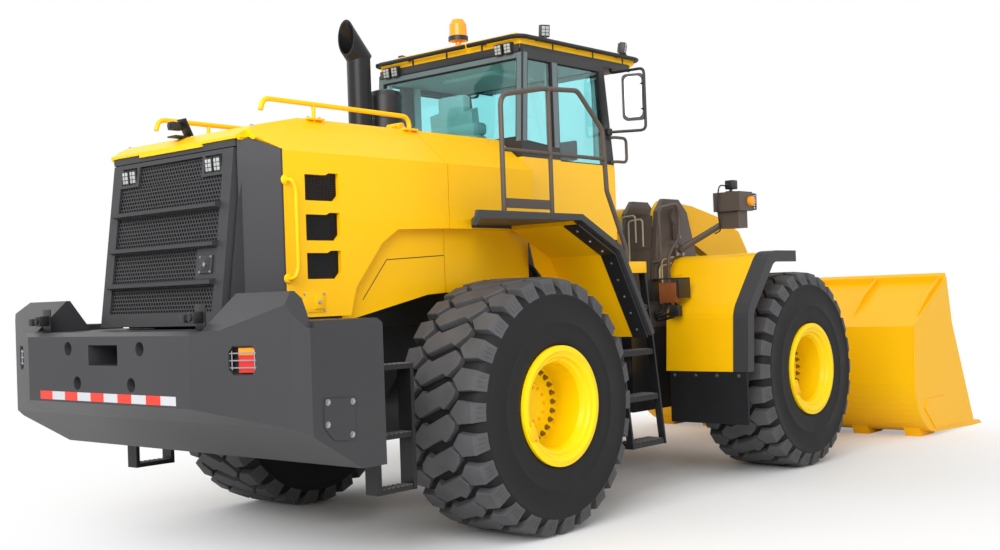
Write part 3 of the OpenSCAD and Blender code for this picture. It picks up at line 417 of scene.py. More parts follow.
# camera, light and floor
cameraSet = {
    "place": rear(-6.76827, -7.04154, 1.71268),
    "right": (0.6561, -0.7538, -0.0359),
    "forward": (0.7546, 0.6560, 0.0158),
    "lens": 44.10,
}
camera = bpy.data.objects.new("photoCamera", bpy.data.cameras.new("photoCamera"))
scene.collection.objects.link(camera)
ahead = Vector(cameraSet["forward"]).normalized()
across = Vector(cameraSet["right"])
across = (across - ahead * across.dot(ahead)).normalized()
aim = Matrix((across, across.cross(ahead), -ahead)).transposed()
camera.matrix_world = Matrix.Translation(cameraSet["place"]) @ aim.to_4x4()
camera.data.sensor_width = 36
camera.data.lens = cameraSet["lens"]
camera.data.clip_end = 200
scene.camera = camera
scene.view_settings.view_transform = "Standard"

lampSet = {
    "key": {"place": (-13, -6, 8), "size": 9, "power": 1550},
    "fill": {"place": (6, -11, 6), "size": 9, "power": 70},
    "back": {"place": (-4, 10, 8), "size": 9, "power": 180},
}
lampTarget = Vector((0, 0, 1.2))
for name, lamp in lampSet.items():
    light = bpy.data.objects.new(name + "Lamp", bpy.data.lights.new(name + "Lamp", "AREA"))
    scene.collection.objects.link(light)
    light.location = lamp["place"]
    light.rotation_euler = (lampTarget - Vector(lamp["place"])).to_track_quat("-Z", "Y").to_euler()
    light.data.size = lamp["size"]
    light.data.energy = lamp["power"]

# the world is white to the eye, in metal and through glass, and a little lower as light
world = bpy.data.worlds.new("studio")
scene.world = world
world.use_nodes = True
skyTree = world.node_tree
backdrop = skyTree.nodes["Background"]
backdrop.inputs["Color"].default_value = (1, 1, 1, 1)
rays = addNode(skyTree, "ShaderNodeLightPath")
seen = addNode(skyTree, "ShaderNodeMath", None, {0: (rays, "Is Camera Ray"), 1: (rays, "Is Glossy Ray")},
               operation="MAXIMUM")
seen = addNode(skyTree, "ShaderNodeMath", None, {0: (seen, 0), 1: (rays, "Is Transmission Ray")}, operation="MAXIMUM")
level = addNode(skyTree, "ShaderNodeMapRange", {"To Min": 0.76, "To Max": 1.0}, {"Value": (seen, 0)})
skyTree.links.new(level.outputs[0], backdrop.inputs["Strength"])

# the floor takes the shadow near the object and runs out into plain white, so that no horizon shows
floorSet = {"size": 60, "colour": "#f4f4f4", "fadeFrom": 2.8, "fadeTo": 6.0}
floorMesh = bmesh.new()
bmesh.ops.create_grid(floorMesh, x_segments=1, y_segments=1, size=floorSet["size"])
mesh = bpy.data.meshes.new("floor")
floorMesh.to_mesh(mesh)
floorMesh.free()
floor = bpy.data.objects.new("floor", mesh)
scene.collection.objects.link(floor)
paleFloor, floorTree, floorShader = startMaterial("paleFloor", Roughness=0.9,
                                                  Base_Color=hexToLinear(floorSet["colour"]))
spot = addNode(floorTree, "ShaderNodeTexCoord")
reach = addNode(floorTree, "ShaderNodeVectorMath", None, {0: (spot, "Object")}, operation="LENGTH")
fade = addNode(floorTree, "ShaderNodeMapRange",
               {"From Min": floorSet["fadeFrom"], "From Max": floorSet["fadeTo"]}, {"Value": (reach, "Value")},
               interpolation_type="SMOOTHSTEP")
floorRays = addNode(floorTree, "ShaderNodeLightPath")
fade = addNode(floorTree, "ShaderNodeMath", None, {0: (fade, 0), 1: (floorRays, "Is Camera Ray")},
               operation="MULTIPLY")
whiteOut = addNode(floorTree, "ShaderNodeEmission", {"Color": (1, 1, 1, 1), "Strength": 1.0})
mixed = addNode(floorTree, "ShaderNodeMixShader", None, {0: (fade, 0), 1: (floorShader, 0), 2: (whiteOut, 0)})
floorTree.links.new(mixed.outputs[0], floorTree.nodes["Material Output"].inputs["Surface"])
mesh.materials.append(paleFloor)
print("camera, lamps and floor set")

# tyres: a turned carcass and separate tread blocks
tyreSet = {
    "pitches": 26,
    "turnR": 0.9,  # radius at which lengths around the tyre are measured
    "grooveR": 0.864,
    "tipProfile": [(0.0, 0.9135), (0.20, 0.9135), (0.300, 0.910), (0.335, 0.900)],
    "carcass": [(0.325, 0.398), (0.356, 0.428), (0.366, 0.440), (0.371, 0.470), (0.3735, 0.520), (0.3735, 0.585),
                (0.3755, 0.589), (0.3755, 0.593), (0.3735, 0.597), (0.3735, 0.700), (0.3725, 0.768), (0.3755, 0.773),
                (0.3755, 0.782), (0.371, 0.788), (0.364, 0.800), (0.340, 0.830), (0.300, 0.854), (0.200, 0.864),
                (0.0, 0.864)],
    # outlines of the blocks of one pitch as (around in metres, across in metres) about a block's middle
    "shoulder": [(0.000, 0.158), (-0.079, 0.222), (-0.068, 0.335), (0.068, 0.335), (0.079, 0.222)],
    "shoulderAt": 0.075,
    "shoulderFrom": 0.33,  # points farther across than this run on down the sidewall
    "shoulderFoot": (0.3705, 0.790),
    "centre": [(-0.125, 0.125), (-0.074, 0.195), (-0.018, 0.180), (0.058, 0.100), (0.040, 0.068)],
    "draft": 0.006,
    # thin ribs moulded on the shoulder's side: places around, then (across, radius) of both ends
    "ribs": [-0.034, 0.0, 0.034],
    "ribEnds": [(0.3475, 0.862), (0.3655, 0.806)],
}


def spoke(angle):
    return Vector((cos(angle), 0, sin(angle)))


def tipRadius(across):
    profile = tyreSet["tipProfile"]
    across = abs(across)
    for (a, ra), (b, rb) in zip(profile, profile[1:]):
        if across <= b:
            return ra + (rb - ra) * (across - a) / (b - a)
    return profile[-1][1]


def addBlock(bm, outline, turnAt, centre, side):
    # one tread block: a drafted foot in the groove, a wall and a broken top edge
    middleU = sum(p[0] for p in outline) / len(outline)
    middleV = sum(p[1] for p in outline) / len(outline)
    footV, footR = tyreSet["shoulderFoot"]

    def place(u, v, radius):
        return bm.verts.new(centre + spoke(turnAt + u / tyreSet["turnR"]) * radius + Vector((0, v * side, 0)))

    rings = [[], [], []]
    for u, v in outline:
        du, dv = u - middleU, v - middleV
        scale = tyreSet["draft"] / hypot(du, dv)
        du, dv = du * scale, dv * scale
        if abs(v) > tyreSet["shoulderFrom"]:
            rings[0].append(place(u * 0.98, footV if v > 0 else -footV, footR))
        else:
            rings[0].append(place(u + du, v + dv, tyreSet["grooveR"] - 0.008))
        rings[1].append(place(u, v, tipRadius(v) - 0.005))
        rings[2].append(place(u - du, v - dv, tipRadius(v - dv)))
    for a, b in zip(rings, rings[1:]):
        for i in range(len(outline)):
            j = (i + 1) % len(outline)
            bm.faces.new((a[i], a[j], b[j], b[i]))
    bm.faces.new(rings[2])


def makeTyre(end, hand):
    node = "tyre_%s_%s" % (end, hand)
    body = "wheel_%s_%s" % (end, hand)
    low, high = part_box(node)
    centre = Vector(((low.x + high.x) / 2, (low.y + high.y) / 2, axleZ))
    side = 1 if hand == "left" else -1
    bm = bmesh.new()
    half = tyreSet["carcass"]
    addRevolve(bm, half + [(-a, r) for a, r in half[-2::-1]], centre, (0, 1, 0), 120, closed=True)
    tyre = finishPiece("carcass_%s_%s" % (end, hand), bm, tyreRubber, body)
    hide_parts(node)
    bm = bmesh.new()
    shoulder = [(u + tyreSet["shoulderAt"], v) for u, v in tyreSet["shoulder"]]
    middle = tyreSet["centre"] + [(-u, -v) for u, v in tyreSet["centre"]]
    for k in range(tyreSet["pitches"]):
        turnAt = 2 * pi * k / tyreSet["pitches"] + pi / 2
        for outline in (shoulder, [(-u, -v) for u, v in shoulder], middle):
            addBlock(bm, outline, turnAt, centre, side)
        for u in tyreSet["ribs"]:
            for edge in bothSides:
                angle = turnAt + edge * (tyreSet["shoulderAt"] + u) / tyreSet["turnR"]
                a, b = (centre + spoke(angle) * radius + Vector((0, v * edge * side, 0))
                        for v, radius in tyreSet["ribEnds"])
                addOriented(bm, (a + b) / 2, b - a, spoke(angle + pi / 2), ((b - a).length, 0.003, 0.004))
    # painted light: the blocks are lighter than the carcass they stand on, and the dark carcass in the grooves stands
    # for their shade
    finishPiece("tread_%s_%s" % (end, hand), bm, treadPaintedLightRubber, body)


# studs on the disc, the lock ring's lug, the valve and the hub's bolts
wheelSet = {
    "studs": 24, "studRing": 0.255, "studSize": (0.027, 0.020), "discDepth": 0.307,
    "hubBolts": 12, "hubRing": 0.125, "hubSize": (0.022, 0.014), "hubRise": 0.029,
    "lugTurn": 205, "lugRing": 0.378,
    "valve": [((0.03, 0, 0.315), 0.09), ((0.03, 0, 0.300), 0.03)],  # place on the face and depth behind it
}


def makeWheelHardware(end, hand):
    low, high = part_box("rim_%s_%s" % (end, hand))
    body = "wheel_%s_%s" % (end, hand)
    side = 1 if hand == "left" else -1
    middle = Vector(((low.x + high.x) / 2, high.y if side > 0 else low.y, axleZ))
    out = Vector((0, side, 0))
    disc = middle - out * wheelSet["discDepth"]
    bm = bmesh.new()
    for k in range(wheelSet["studs"]):
        stud = disc + spoke(2 * pi * k / wheelSet["studs"]) * wheelSet["studRing"]
        addHexHead(bm, stud, out, *wheelSet["studSize"])
        addTube(bm, [stud + out * 0.015, stud + out * 0.032], 0.009, 8)
    finishPiece("wheelStuds_%s_%s" % (end, hand), bm, yellowZinc, body)
    bm = bmesh.new()
    lug = spoke(radians(wheelSet["lugTurn"]))
    lugPlace = middle + lug * wheelSet["lugRing"] - out * 0.012
    addOriented(bm, lugPlace, lug, out, (0.072, 0.105, 0.040), 0.014)
    addOriented(bm, lugPlace - lug * 0.03, lug, out, (0.030, 0.150, 0.030), 0.010)
    addTube(bm, [middle + Vector(place) - out * depth for place, depth in wheelSet["valve"]], 0.008, 8)
    for k in range(wheelSet["hubBolts"]):
        bolt = disc + out * wheelSet["hubRise"] + spoke(2 * pi * k / wheelSet["hubBolts"]) * wheelSet["hubRing"]
        addHexHead(bm, bolt, out, *wheelSet["hubSize"], washer=False)
    finishPiece("lockLug_%s_%s" % (end, hand), bm, yellowEnamel, body)


for end in ("rear", "front"):
    for hand in ("left", "right"):
        makeTyre(end, hand)
        makeWheelHardware(end, hand)
print("wheels made")

# grille door: punched sheets, latch and lamps in their pockets
grilleSet = {
    "faceX": -2.043, "faceZ": 2.35, "lean": 0.13,
    "pitch": 0.030, "hole": 0.0121, "offset": 0.012, "shadeSheetOffset": 0.0155,
    # low and high z, low and high y
    "zones": [(1.670, 1.835, -0.59, 0.59), (1.879, 2.078, -0.37, 0.59), (2.122, 2.328, -0.59, 0.59),
              (2.372, 2.545, -0.59, 0.59), (2.544, 2.680, -0.365, 0.365)],
    "latch": (-0.495, 1.972),
    "lampSpots": [(0.440, 2.615), (0.530, 2.615)],
}


def onDoor(inward, y, z):
    # place this far in from the door's leaning face
    return rear(grilleSet["faceX"] - grilleSet["lean"] * (grilleSet["faceZ"] - z) + inward, y, z)


def addOnDoor(bm, inward, y, z, size, bevel=0.0):
    addOriented(bm, onDoor(inward, y, z), (1, 0, -grilleSet["lean"]), upward, size, bevel)


bm = bmesh.new()
cells = {}


def sheetCorner(y, z):
    key = (round(y, 5), round(z, 5))
    if key not in cells:
        cells[key] = bm.verts.new(onDoor(grilleSet["offset"], y, z))
    return cells[key]


def addPunchedCell(y, z, radius, hole):
    # one honeycomb cell with a round hole of eight corners
    rim = [sheetCorner(y + radius * sin(pi * k / 3), z + radius * cos(pi * k / 3)) for k in range(6)]
    flat = onDoor(grilleSet["offset"], 0, z).x
    edge = [bm.verts.new((flat, y + hole * sin(pi * k / 4), z + hole * cos(pi * k / 4))) for k in range(8)]
    for k in range(6):
        j, a, b = (k + 1) % 6, round(k * 8 / 6) % 8, round((k + 1) * 8 / 6) % 8
        between = [edge[i % 8] for i in range(a, (b if b > a else b + 8) + 1)]
        bm.faces.new([rim[k], rim[j]] + between[::-1])


pitch = grilleSet["pitch"]
cellRadius = pitch / 3 ** 0.5
for lowZ, highZ, lowY, highY in grilleSet["zones"]:
    cells.clear()
    row, z = 0, lowZ + cellRadius * 0.4
    while z < highZ:
        y = lowY + (pitch / 2 if row % 2 else 0)
        while y <= highY:
            addPunchedCell(y, z, cellRadius, grilleSet["hole"])
            y += pitch
        z += pitch * 0.866
        row += 1
finishPiece("grilleSheet", bm, charcoalEnamel, "grille_body")

shadeSheet, latchPlate, latchCup, latchLock, housing, lens, pocket = newMeshes(7)
# painted shade: a black sheet behind the punched sheets, so that the holes look into the dark
for lowZ, highZ, lowY, highY in grilleSet["zones"]:
    corners = ((lowY, lowZ), (highY, lowZ), (highY, highZ), (lowY, highZ))
    addPrism(shadeSheet, [onDoor(grilleSet["shadeSheetOffset"], y, z) for y, z in corners], (0.002, 0, 0))
latchY, latchZ = grilleSet["latch"]
addOnDoor(latchPlate, 0.008, latchY + 0.010, latchZ + 0.006, (0.006, 0.22, 0.196))
addOnDoor(latchPlate, -0.002, latchY, latchZ, (0.014, 0.135, 0.115), 0.004)
addOnDoor(latchCup, -0.008, latchY, latchZ, (0.008, 0.096, 0.080), 0.004)
addBar(latchLock, onDoor, ((-0.02, latchY, latchZ), (-0.006, latchY, latchZ)), 0.014, 14)
addScrews(latchLock, [onDoor(-0.009, latchY + a * 0.056, latchZ + b * 0.048) for a in bothSides for b in bothSides],
          (-1, 0, grilleSet["lean"]), 0.011, 0.006)
for side in bothSides:
    addOnDoor(pocket, 0.036, side * 0.485, 2.622, (0.008, 0.174, 0.110))
    for y, z in grilleSet["lampSpots"]:
        addWorkLamp(housing, lens, onDoor(-0.004, side * y, z), (-1, 0, -0.06), 0.076, 0.100, 0.034)
finishPieces("grille_body",
             ("grilleShadeSheet", shadeSheet, radiatorPaintedShade, "black_paint"),
             ("grilleLatchPlate", latchPlate, charcoalEnamel, "dark_paint"),
             ("grilleLatchCup", latchCup, blackAbs, "black_plastic"),
             ("grilleLatchLock", latchLock, zincPlate, "bare_steel"),
             ("grillePockets", pocket, blackAbs, "black_plastic"),
             ("grilleLampHousings", housing, blackAbs, "black_plastic"),
             ("grilleLampCells", lens, clearLens, "black_plastic"))

# filler between door and hood, the rolled yellow edge of the hood above it, and the strip under the radiator
edgeSet = {
    "filler": ((-1.992, -1.930), (-0.70, 0.70), (2.717, 2.762)),
    "fillerSide": [(-1.978, 0.702, 2.689), (-1.817, 0.928, 2.689), (-1.925, 0.777, 2.762), (-1.978, 0.702, 2.762)],
    # (x, z) outlines and half widths
    "roll": ([(-1.924, 2.764), (-2.002, 2.764), (-2.004, 2.781), (-1.924, 2.8245)], 0.722),
    "visor": ([(-1.935, 2.745), (-2.006, 2.745), (-2.006, 2.766), (-1.935, 2.766)], 0.36),
    # rear x, depth and (y, z) outlines
    "rollEnd": (-1.985, 0.061, [(0.721, 2.7905), (0.746, 2.770), (0.730, 2.752), (0.705, 2.764)]),
    "shoulder": (-1.924, 0.018, [(0.721, 2.8245), (0.756, 2.8225), (0.829, 2.764), (0.800, 2.752), (0.721, 2.785)]),
    "shroud": ((-1.915, -1.905), (-0.70, 0.70), (1.563, 1.633)),
}
filler, lip, shroud = newMeshes(3)
addSpan(filler, rear, *edgeSet["filler"])
for outline, halfWidth in (edgeSet["roll"], edgeSet["visor"]):
    addSidePlate(lip, rear, outline, -halfWidth, halfWidth)
for side in bothSides:
    at = mirrored(rear, side)
    addPrism(filler, [at(*place) for place in edgeSet["fillerSide"]], (0.020, -0.012 * side, 0))
    for x, depth, outline in (edgeSet["rollEnd"], edgeSet["shoulder"]):
        addPrism(lip, [at(x, y, z) for y, z in outline], (depth, 0, 0))
addSpan(shroud, rear, *edgeSet["shroud"])
finishPiece("hoodFiller", filler, charcoalEnamel, "hood_body")
finishPiece("hoodLip", lip, yellowEnamel, "hood_body")
finishPiece("radiatorShroud", shroud, radiatorPaintedShade, "rear_frame")
print("grille made")

# hood: handles, paddle latches, vent mesh, seams, lifting eyes, rail feet and the camera on top
hoodSet = {
    "halfWidth": 0.93,
    "handle": {"x": -1.745, "low": 1.86, "high": 2.49, "out": 0.055},
    "latch": (-1.58, 1.705, 0.19, 0.13),
    "vents": {"tops": [2.550, 2.290, 2.040], "x": (-1.63, -1.33), "height": 0.19, "wire": 0.0032, "pitch": 0.012},
    "seam": [(-1.093, 1.710), (-0.859, 1.982), (-0.285, 2.012)],
    "eye": (-1.86, 0.70, 2.775, 0.028),
    "railFeet": {"x": [-1.25, -0.33], "y": (0.567, 0.637), "z": (2.951, 2.965)},
    "camera": (-1.90, 0.04, 2.855),
}
halfHood = hoodSet["halfWidth"]
handles, wires, plates, locks, seams, eyes, bm = newMeshes(7)
for side in bothSides:
    at = mirrored(rear, side)
    outward = (0, side, 0)
    grip = hoodSet["handle"]
    x, low, high, gripY = grip["x"], grip["low"], grip["high"], halfHood + grip["out"]
    addRoute(handles, at, ((x - 0.04, halfHood, high), (x - 0.03, gripY, high), (x, gripY, high - 0.06),
                           (x, gripY, low + 0.06), (x - 0.03, gripY, low), (x - 0.04, halfHood, low)), 0.03, 0.014, 12)
    for z in (low, high):
        addRevolve(handles, [(0.0, 0.034), (0.010, 0.030), (0.018, 0.016)], at(x - 0.04, halfHood, z), outward, 20)
    x, z, width, height = hoodSet["latch"]
    addSpan(plates, at, (x - width / 2, x + width / 2), (halfHood, halfHood + 0.006),
            (z - height / 2, z + height / 2), 0.002)
    addSpan(plates, at, (x - 0.005, x + 0.07), (halfHood, halfHood + 0.016), (z - 0.045, z + 0.045), 0.004)
    addScrews(locks, [at(x + a * width * 0.43, halfHood + 0.006, z + b * height * 0.40)
                      for a in bothSides for b in bothSides], outward, 0.012, 0.005)
    addRevolve(locks, [(0.016, 0.013), (0.020, 0.013), (0.022, 0.010)], at(x + 0.035, halfHood, z), outward, 16)
    vents = hoodSet["vents"]
    meshY = side * (halfHood - 0.032)
    for top in vents["tops"]:
        # woven wire behind the vent's opening
        bottom = top - vents["height"]
        for k in range(26):
            x = vents["x"][0] + vents["pitch"] * k
            addSpan(wires, rear, (x, x + vents["wire"]), (meshY - 0.0015, meshY + 0.0015), (bottom, top + 0.005))
        for k in range(17):
            z = bottom + vents["pitch"] * k
            addSpan(wires, rear, vents["x"], (meshY - 0.0035, meshY - 0.0005), (z, z + vents["wire"]))
    line = hoodSet["seam"]
    for (xa, za), (xb, zb) in zip(line, line[1:]):
        a, b = at(xa, halfHood - 0.065, za), at(xb, halfHood - 0.065, zb)
        addOriented(seams, (a + b) / 2, b - a, outward, ((b - a).length, 0.006, 0.0025))
    x, y, z, ringR = hoodSet["eye"]
    addRevolve(eyes, [(0.0, 0.022), (0.020, 0.018)], at(x, y, z), upward, 16)
    addTube(eyes, [rear(x, side * y + ringR * sin(2 * pi * k / 20), z + 0.055 - ringR * cos(2 * pi * k / 20))
                   for k in range(21)], 0.008, 8)
    feet = hoodSet["railFeet"]
    for x in feet["x"]:
        addSpan(handles, at, (x - 0.07, x + 0.07), feet["y"], feet["z"], 0.003)
        addScrews(locks, [at(x + d, sum(feet["y"]) / 2, feet["z"][1]) for d in (-0.05, 0.05)], upward, 0.018, 0.010)
at = measuredFrom(rear, *hoodSet["camera"])
addSpan(bm, at, (-0.06, 0.06), (-0.05, 0.05), (0, 0.012), 0.003)
addOriented(bm, at(0.04, -0.02, 0.07), (-0.5, 0, 1), (1, 0, 0.5), (0.13, 0.10, 0.008), 0.002)
addSpan(bm, at, (-0.07, 0.02), (-0.03, 0.03), (0.05, 0.105), 0.006)
addBar(bm, at, ((-0.078, 0, 0.078), (-0.068, 0, 0.078)), 0.02, 16)
finishPieces("hood_body",
             ("hoodHandles", handles, yellowEnamel, "yellow_paint"),
             ("ventMesh", wires, blackEnamel, "black_paint"),
             ("hoodLatchPlates", plates, yellowEnamel, "yellow_paint"),
             ("hoodScrews", locks, zincPlate, "bare_steel"),
             ("hoodSeams", seams, blackEnamel, "black_paint"),
             ("liftingEyes", eyes, zincPlate, "bare_steel"),
             ("hoodCamera", bm, blackAbs, "black_plastic"))
print("hood trimmed")

# counterweight: reflector strip, cover plates, camera brackets and lamp guards
weightSet = {
    "strip": {"halfWidth": 0.79, "z": (1.118, 1.173), "segments": 10},
    "cover": [(-2.142, 1.150), (-1.905, 1.140), (-1.915, 0.930), (-1.955, 0.895), (-2.075, 0.905), (-2.150, 0.985)],
    "coverT": 0.007,
    "coverScrews": [(-2.120, 1.128), (-1.930, 1.118), (-2.125, 1.000), (-1.940, 0.925)],
    "bracket": (-2.47, 0.895, 1.560),
    # boxes of the bracket and its camera, measured from the bracket's foot
    "bracketBoxes": [
        ((-0.03, 0.05), (-0.05, 0.05), (0, 0.008), 0.002), ((0.035, 0.043), (-0.05, 0.05), (0, 0.16), 0.002),
        ((-0.035, 0.035), (-0.03, 0.03), (0.045, 0.115), 0.006), ((-0.06, 0.01), (0.03, 0.075), (0.05, 0.10), 0.006)],
    "lamp": {"place": (-2.4234, 1.275, 1.385), "turn": 20.7, "bars": [-0.042, 0.0, 0.042]},
}
strip = weightSet["strip"]
stripWidth = 2 * strip["halfWidth"] / strip["segments"]
for colour, material, start in (("red", redTape, 0), ("white", whiteTape, 1)):
    bm = bmesh.new()
    for k in range(start, strip["segments"], 2):
        y = strip["halfWidth"] - k * stripWidth
        addBox(bm, (weightRearX - 0.0012, y - stripWidth, strip["z"][0]), (weightRearX + 0.002, y, strip["z"][1]))
    finishPiece("reflector_" + colour, bm, material, "rear_frame")
covers, screws, brackets, guards, cups = newMeshes(5)
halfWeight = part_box("counterweight")[1].y
for side in bothSides:
    at = mirrored(rear, side)
    coverY = halfWeight + weightSet["coverT"]
    addSidePlate(covers, at, weightSet["cover"], halfWeight, coverY)
    addScrews(screws, [at(x, coverY, z) for x, z in weightSet["coverScrews"]], (0, side, 0), 0.024, 0.011)
    x, y, z = weightSet["bracket"]
    foot = measuredFrom(rear, x, side * y, z)
    addSpans(brackets, foot, weightSet["bracketBoxes"])
    addBar(brackets, foot, ((-0.048, 0, 0.08), (-0.034, 0, 0.08)), 0.022, 18)
    lamp = weightSet["lamp"]
    turn = radians(lamp["turn"])
    inward = Vector((cos(turn), -side * sin(turn), 0))
    along = Vector((sin(turn), side * cos(turn), 0))
    origin = at(*lamp["place"])
    for up in lamp["bars"]:
        addTube(guards, [origin + along * a + inward * 0.008 + Vector((0, 0, up)) for a in (-0.090, 0.090)], 0.0045, 10)
    for a in (-0.076, 0.076):
        addTube(guards, [origin + along * a + inward * 0.012 + Vector((0, 0, up)) for up in (-0.055, 0.055)], 0.004, 8)
    # cup behind the lens: two crossed back plates and four walls
    for size in ((0.006, 0.120, 0.164), (0.006, 0.180, 0.098)):
        addOriented(cups, origin + inward * 0.0555, inward, upward, size)
    for a in bothSides:
        addOriented(cups, origin + inward * 0.030 + along * a * 0.0885, inward, upward, (0.050, 0.005, 0.096))
        addOriented(cups, origin + inward * 0.030 + Vector((0, 0, a * 0.0815)), inward, upward, (0.050, 0.120, 0.005))
finishPieces("rear_frame",
             ("weightCovers", covers, charcoalEnamel, "dark_paint"),
             ("weightScrews", screws, zincPlate, "bare_steel"),
             ("rearCameras", brackets, blackAbs, "black_plastic"),
             ("tailLampGuards", guards, zincPlate, "bare_steel"),
             ("tailLampCups", cups, blackAbs, "black_plastic"))
print("counterweight trimmed")

# cab: gaskets, wiper, lining, seat, controls, mirrors, loops, roof trim and lamps
cabSet = {
    "halfWidth": 0.83, "eaves": 3.68, "rearLean": 0.0641,
    "rightPanes": [[(0.765, 2.930), (0.808, 3.600), (1.110, 3.600), (1.110, 2.900)],
                   [(1.190, 2.790), (1.190, 3.600), (1.765, 3.600), (1.840, 2.790)]],
    "leftPanes": [[(0.765, 2.930), (0.808, 3.600), (1.000, 3.600), (1.000, 2.900)]],
    "doorPane": [(1.125, 2.480), (1.125, 3.560), (1.720, 3.560), (1.740, 2.480)],
    "rearPane": [(-0.765, 2.960), (0.765, 2.960), (0.765, 3.600), (-0.765, 3.600)],
    # the glass runs over the corner posts and the header, with a thin joint at the corner
    "cornerGlass": [(0.712, 2.93), (0.757, 3.645), (0.803, 3.645), (0.758, 2.93)],
    "middleGlass": [(1.118, 2.90), (1.118, 3.60), (1.182, 3.60), (1.182, 2.90)],
    "rearGlass": [[(-0.772, 2.93), (-0.820, 2.93), (-0.820, 3.645), (-0.772, 3.645)],
                  [(0.772, 2.93), (0.820, 2.93), (0.820, 3.645), (0.772, 3.645)],
                  [(-0.770, 3.604), (0.770, 3.604), (0.770, 3.645), (-0.770, 3.645)]],
    # boxes as limits along, across and up, and the bevel: ceiling and its duct, then what both sides have
    "ceiling": [
        ((0.83, 1.74), (-0.765, 0.765), (3.600, 3.617), 0.004), ((1.00, 1.55), (-0.30, 0.30), (3.560, 3.605), 0.02)],
    "postCovers": [
        ((0.83, 1.03), (0.743, 0.767), (2.25, 2.86), 0.006), ((0.775, 0.815), (0.725, 0.765), (2.92, 3.60), 0.008),
        ((1.115, 1.185), (0.743, 0.767), (2.80, 3.60), 0.006), ((1.78, 1.82), (0.725, 0.765), (2.85, 3.58), 0.008)],
    # floor mat, arm consoles, lever knob, display and the shelf behind the seat
    "controls": [
        ((0.78, 1.87), (-0.76, 0.76), (2.211, 2.222), 0.003), ((0.86, 1.38), (-0.43, -0.31), (2.40, 2.76), 0.02),
        ((0.86, 1.38), (0.31, 0.43), (2.40, 2.76), 0.02), ((1.305, 1.355), (-0.395, -0.345), (2.87, 2.95), 0.016),
        ((1.66, 1.70), (-0.62, -0.40), (2.85, 3.02), 0.01), ((0.80, 0.90), (-0.70, 0.70), (2.80, 2.90), 0.02)],
    "mirror": (1.975, 1.035, 3.375, 0.150, 0.355), "mirrorSwing": 24,
    "mirrorTube": [(2.010, 0.780, 3.680), (2.010, 0.780, 3.620), (2.010, 1.130, 3.615), (2.010, 1.130, 3.080),
                   (1.860, 0.845, 3.080)],
    "grabLoop": [(1.885, 0.83, 3.035), (1.90, 0.88, 3.035), (2.05, 0.89, 3.035), (2.05, 0.89, 2.825),
                 (1.91, 0.88, 2.825), (1.905, 0.83, 2.825)],
    "roofLamps": [(1.03, 0.845, 3.845), (2.16, 0.845, 3.845)],
    "eaveLamps": [0.60, 0.70],
    "beacon": (0.90, 0, 3.83),
}
half = cabSet["halfWidth"]
eaves = cabSet["eaves"]


def cabRear(out, y, z):
    # place on the cab's rear wall, which leans forward as it rises
    return rear(out + (z - 2.9) * cabSet["rearLean"], y, z)


def addGasket(bm, points):
    # rubber bead round a pane, closed on itself
    for a, b in zip(points, points[1:] + points[:1]):
        addTube(bm, [a, b], 0.011, 8)


gaskets, doorGasket, handle, lining, controls, postGlass = newMeshes(6)
for side, panes in ((-1, cabSet["rightPanes"]), (1, cabSet["leftPanes"])):
    for pane in panes:
        addGasket(gaskets, [rear(x, side * (half - 0.012), z) for x, z in pane])
addGasket(gaskets, [cabRear(0.7125, y, z) for y, z in cabSet["rearPane"]])
addGasket(doorGasket, [rear(x, half - 0.012, z) for x, z in cabSet["doorPane"]])
addSpan(handle, rear, (1.60, 1.74), (half, half + 0.012), (2.42, 2.47), 0.004)
addRoute(handle, rear, ((1.62, half + 0.01, 2.445), (1.62, half + 0.045, 2.445), (1.73, half + 0.045, 2.445),
                        (1.73, half + 0.01, 2.445)), 0.015, 0.009)
addSpans(lining, rear, cabSet["ceiling"])
addSpans(controls, rear, cabSet["controls"])
addBar(controls, rear, ((1.32, -0.37, 2.75), (1.33, -0.37, 2.89)), 0.012, 10)
addBar(controls, rear, ((1.69, -0.51, 2.50), (1.69, -0.51, 2.86)), 0.014, 10)
for side in bothSides:
    at = mirrored(rear, side)
    addSpans(lining, at, cabSet["postCovers"])
    addSidePlate(postGlass, at, cabSet["cornerGlass"], half + 0.0005, half + 0.0035)
addSidePlate(postGlass, rear, cabSet["middleGlass"], -half - 0.0005, -half - 0.0035)
for outline in cabSet["rearGlass"]:
    addPrism(postGlass, [cabRear(0.6965, y, z) for y, z in outline], (0.0035, 0, 0))
finishPiece("paneGaskets", gaskets, flapRubber, "rear_frame")
finishPiece("doorGasket", doorGasket, flapRubber, "door_body")
finishPiece("doorHandle", handle, blackAbs, "door_body")
finishPieces("rear_frame",
             ("cabLining", lining, liningPaintedLight, "black_plastic"),
             ("cabControls", controls, blackAbs, "black_plastic"),
             ("postGlass", postGlass, bondedGlass, "black_plastic"))


def makeCushion(name, low, high, ribs):
    # stuffed panel with sewn channels across it
    bm = bmesh.new()
    step = (high.z - low.z) / ribs
    for k in range(ribs):
        addBox(bm, (low.x, low.y, low.z + k * step), (high.x, high.y, low.z + (k + 1) * step),
               min(step, high.x - low.x) * 0.3)
    piece = finishPiece(name, bm, seatVinylPaintedLight, "rear_frame")


makeCushion("seatBack", rear(0.775, -0.255, 2.62), rear(0.955, 0.255, 3.16), 5)
makeCushion("headRest", rear(0.770, -0.15, 3.18), rear(0.875, 0.15, 3.40), 1)
makeCushion("seatCushion", rear(0.90, -0.265, 2.62), rear(1.36, 0.265, 2.70), 1)

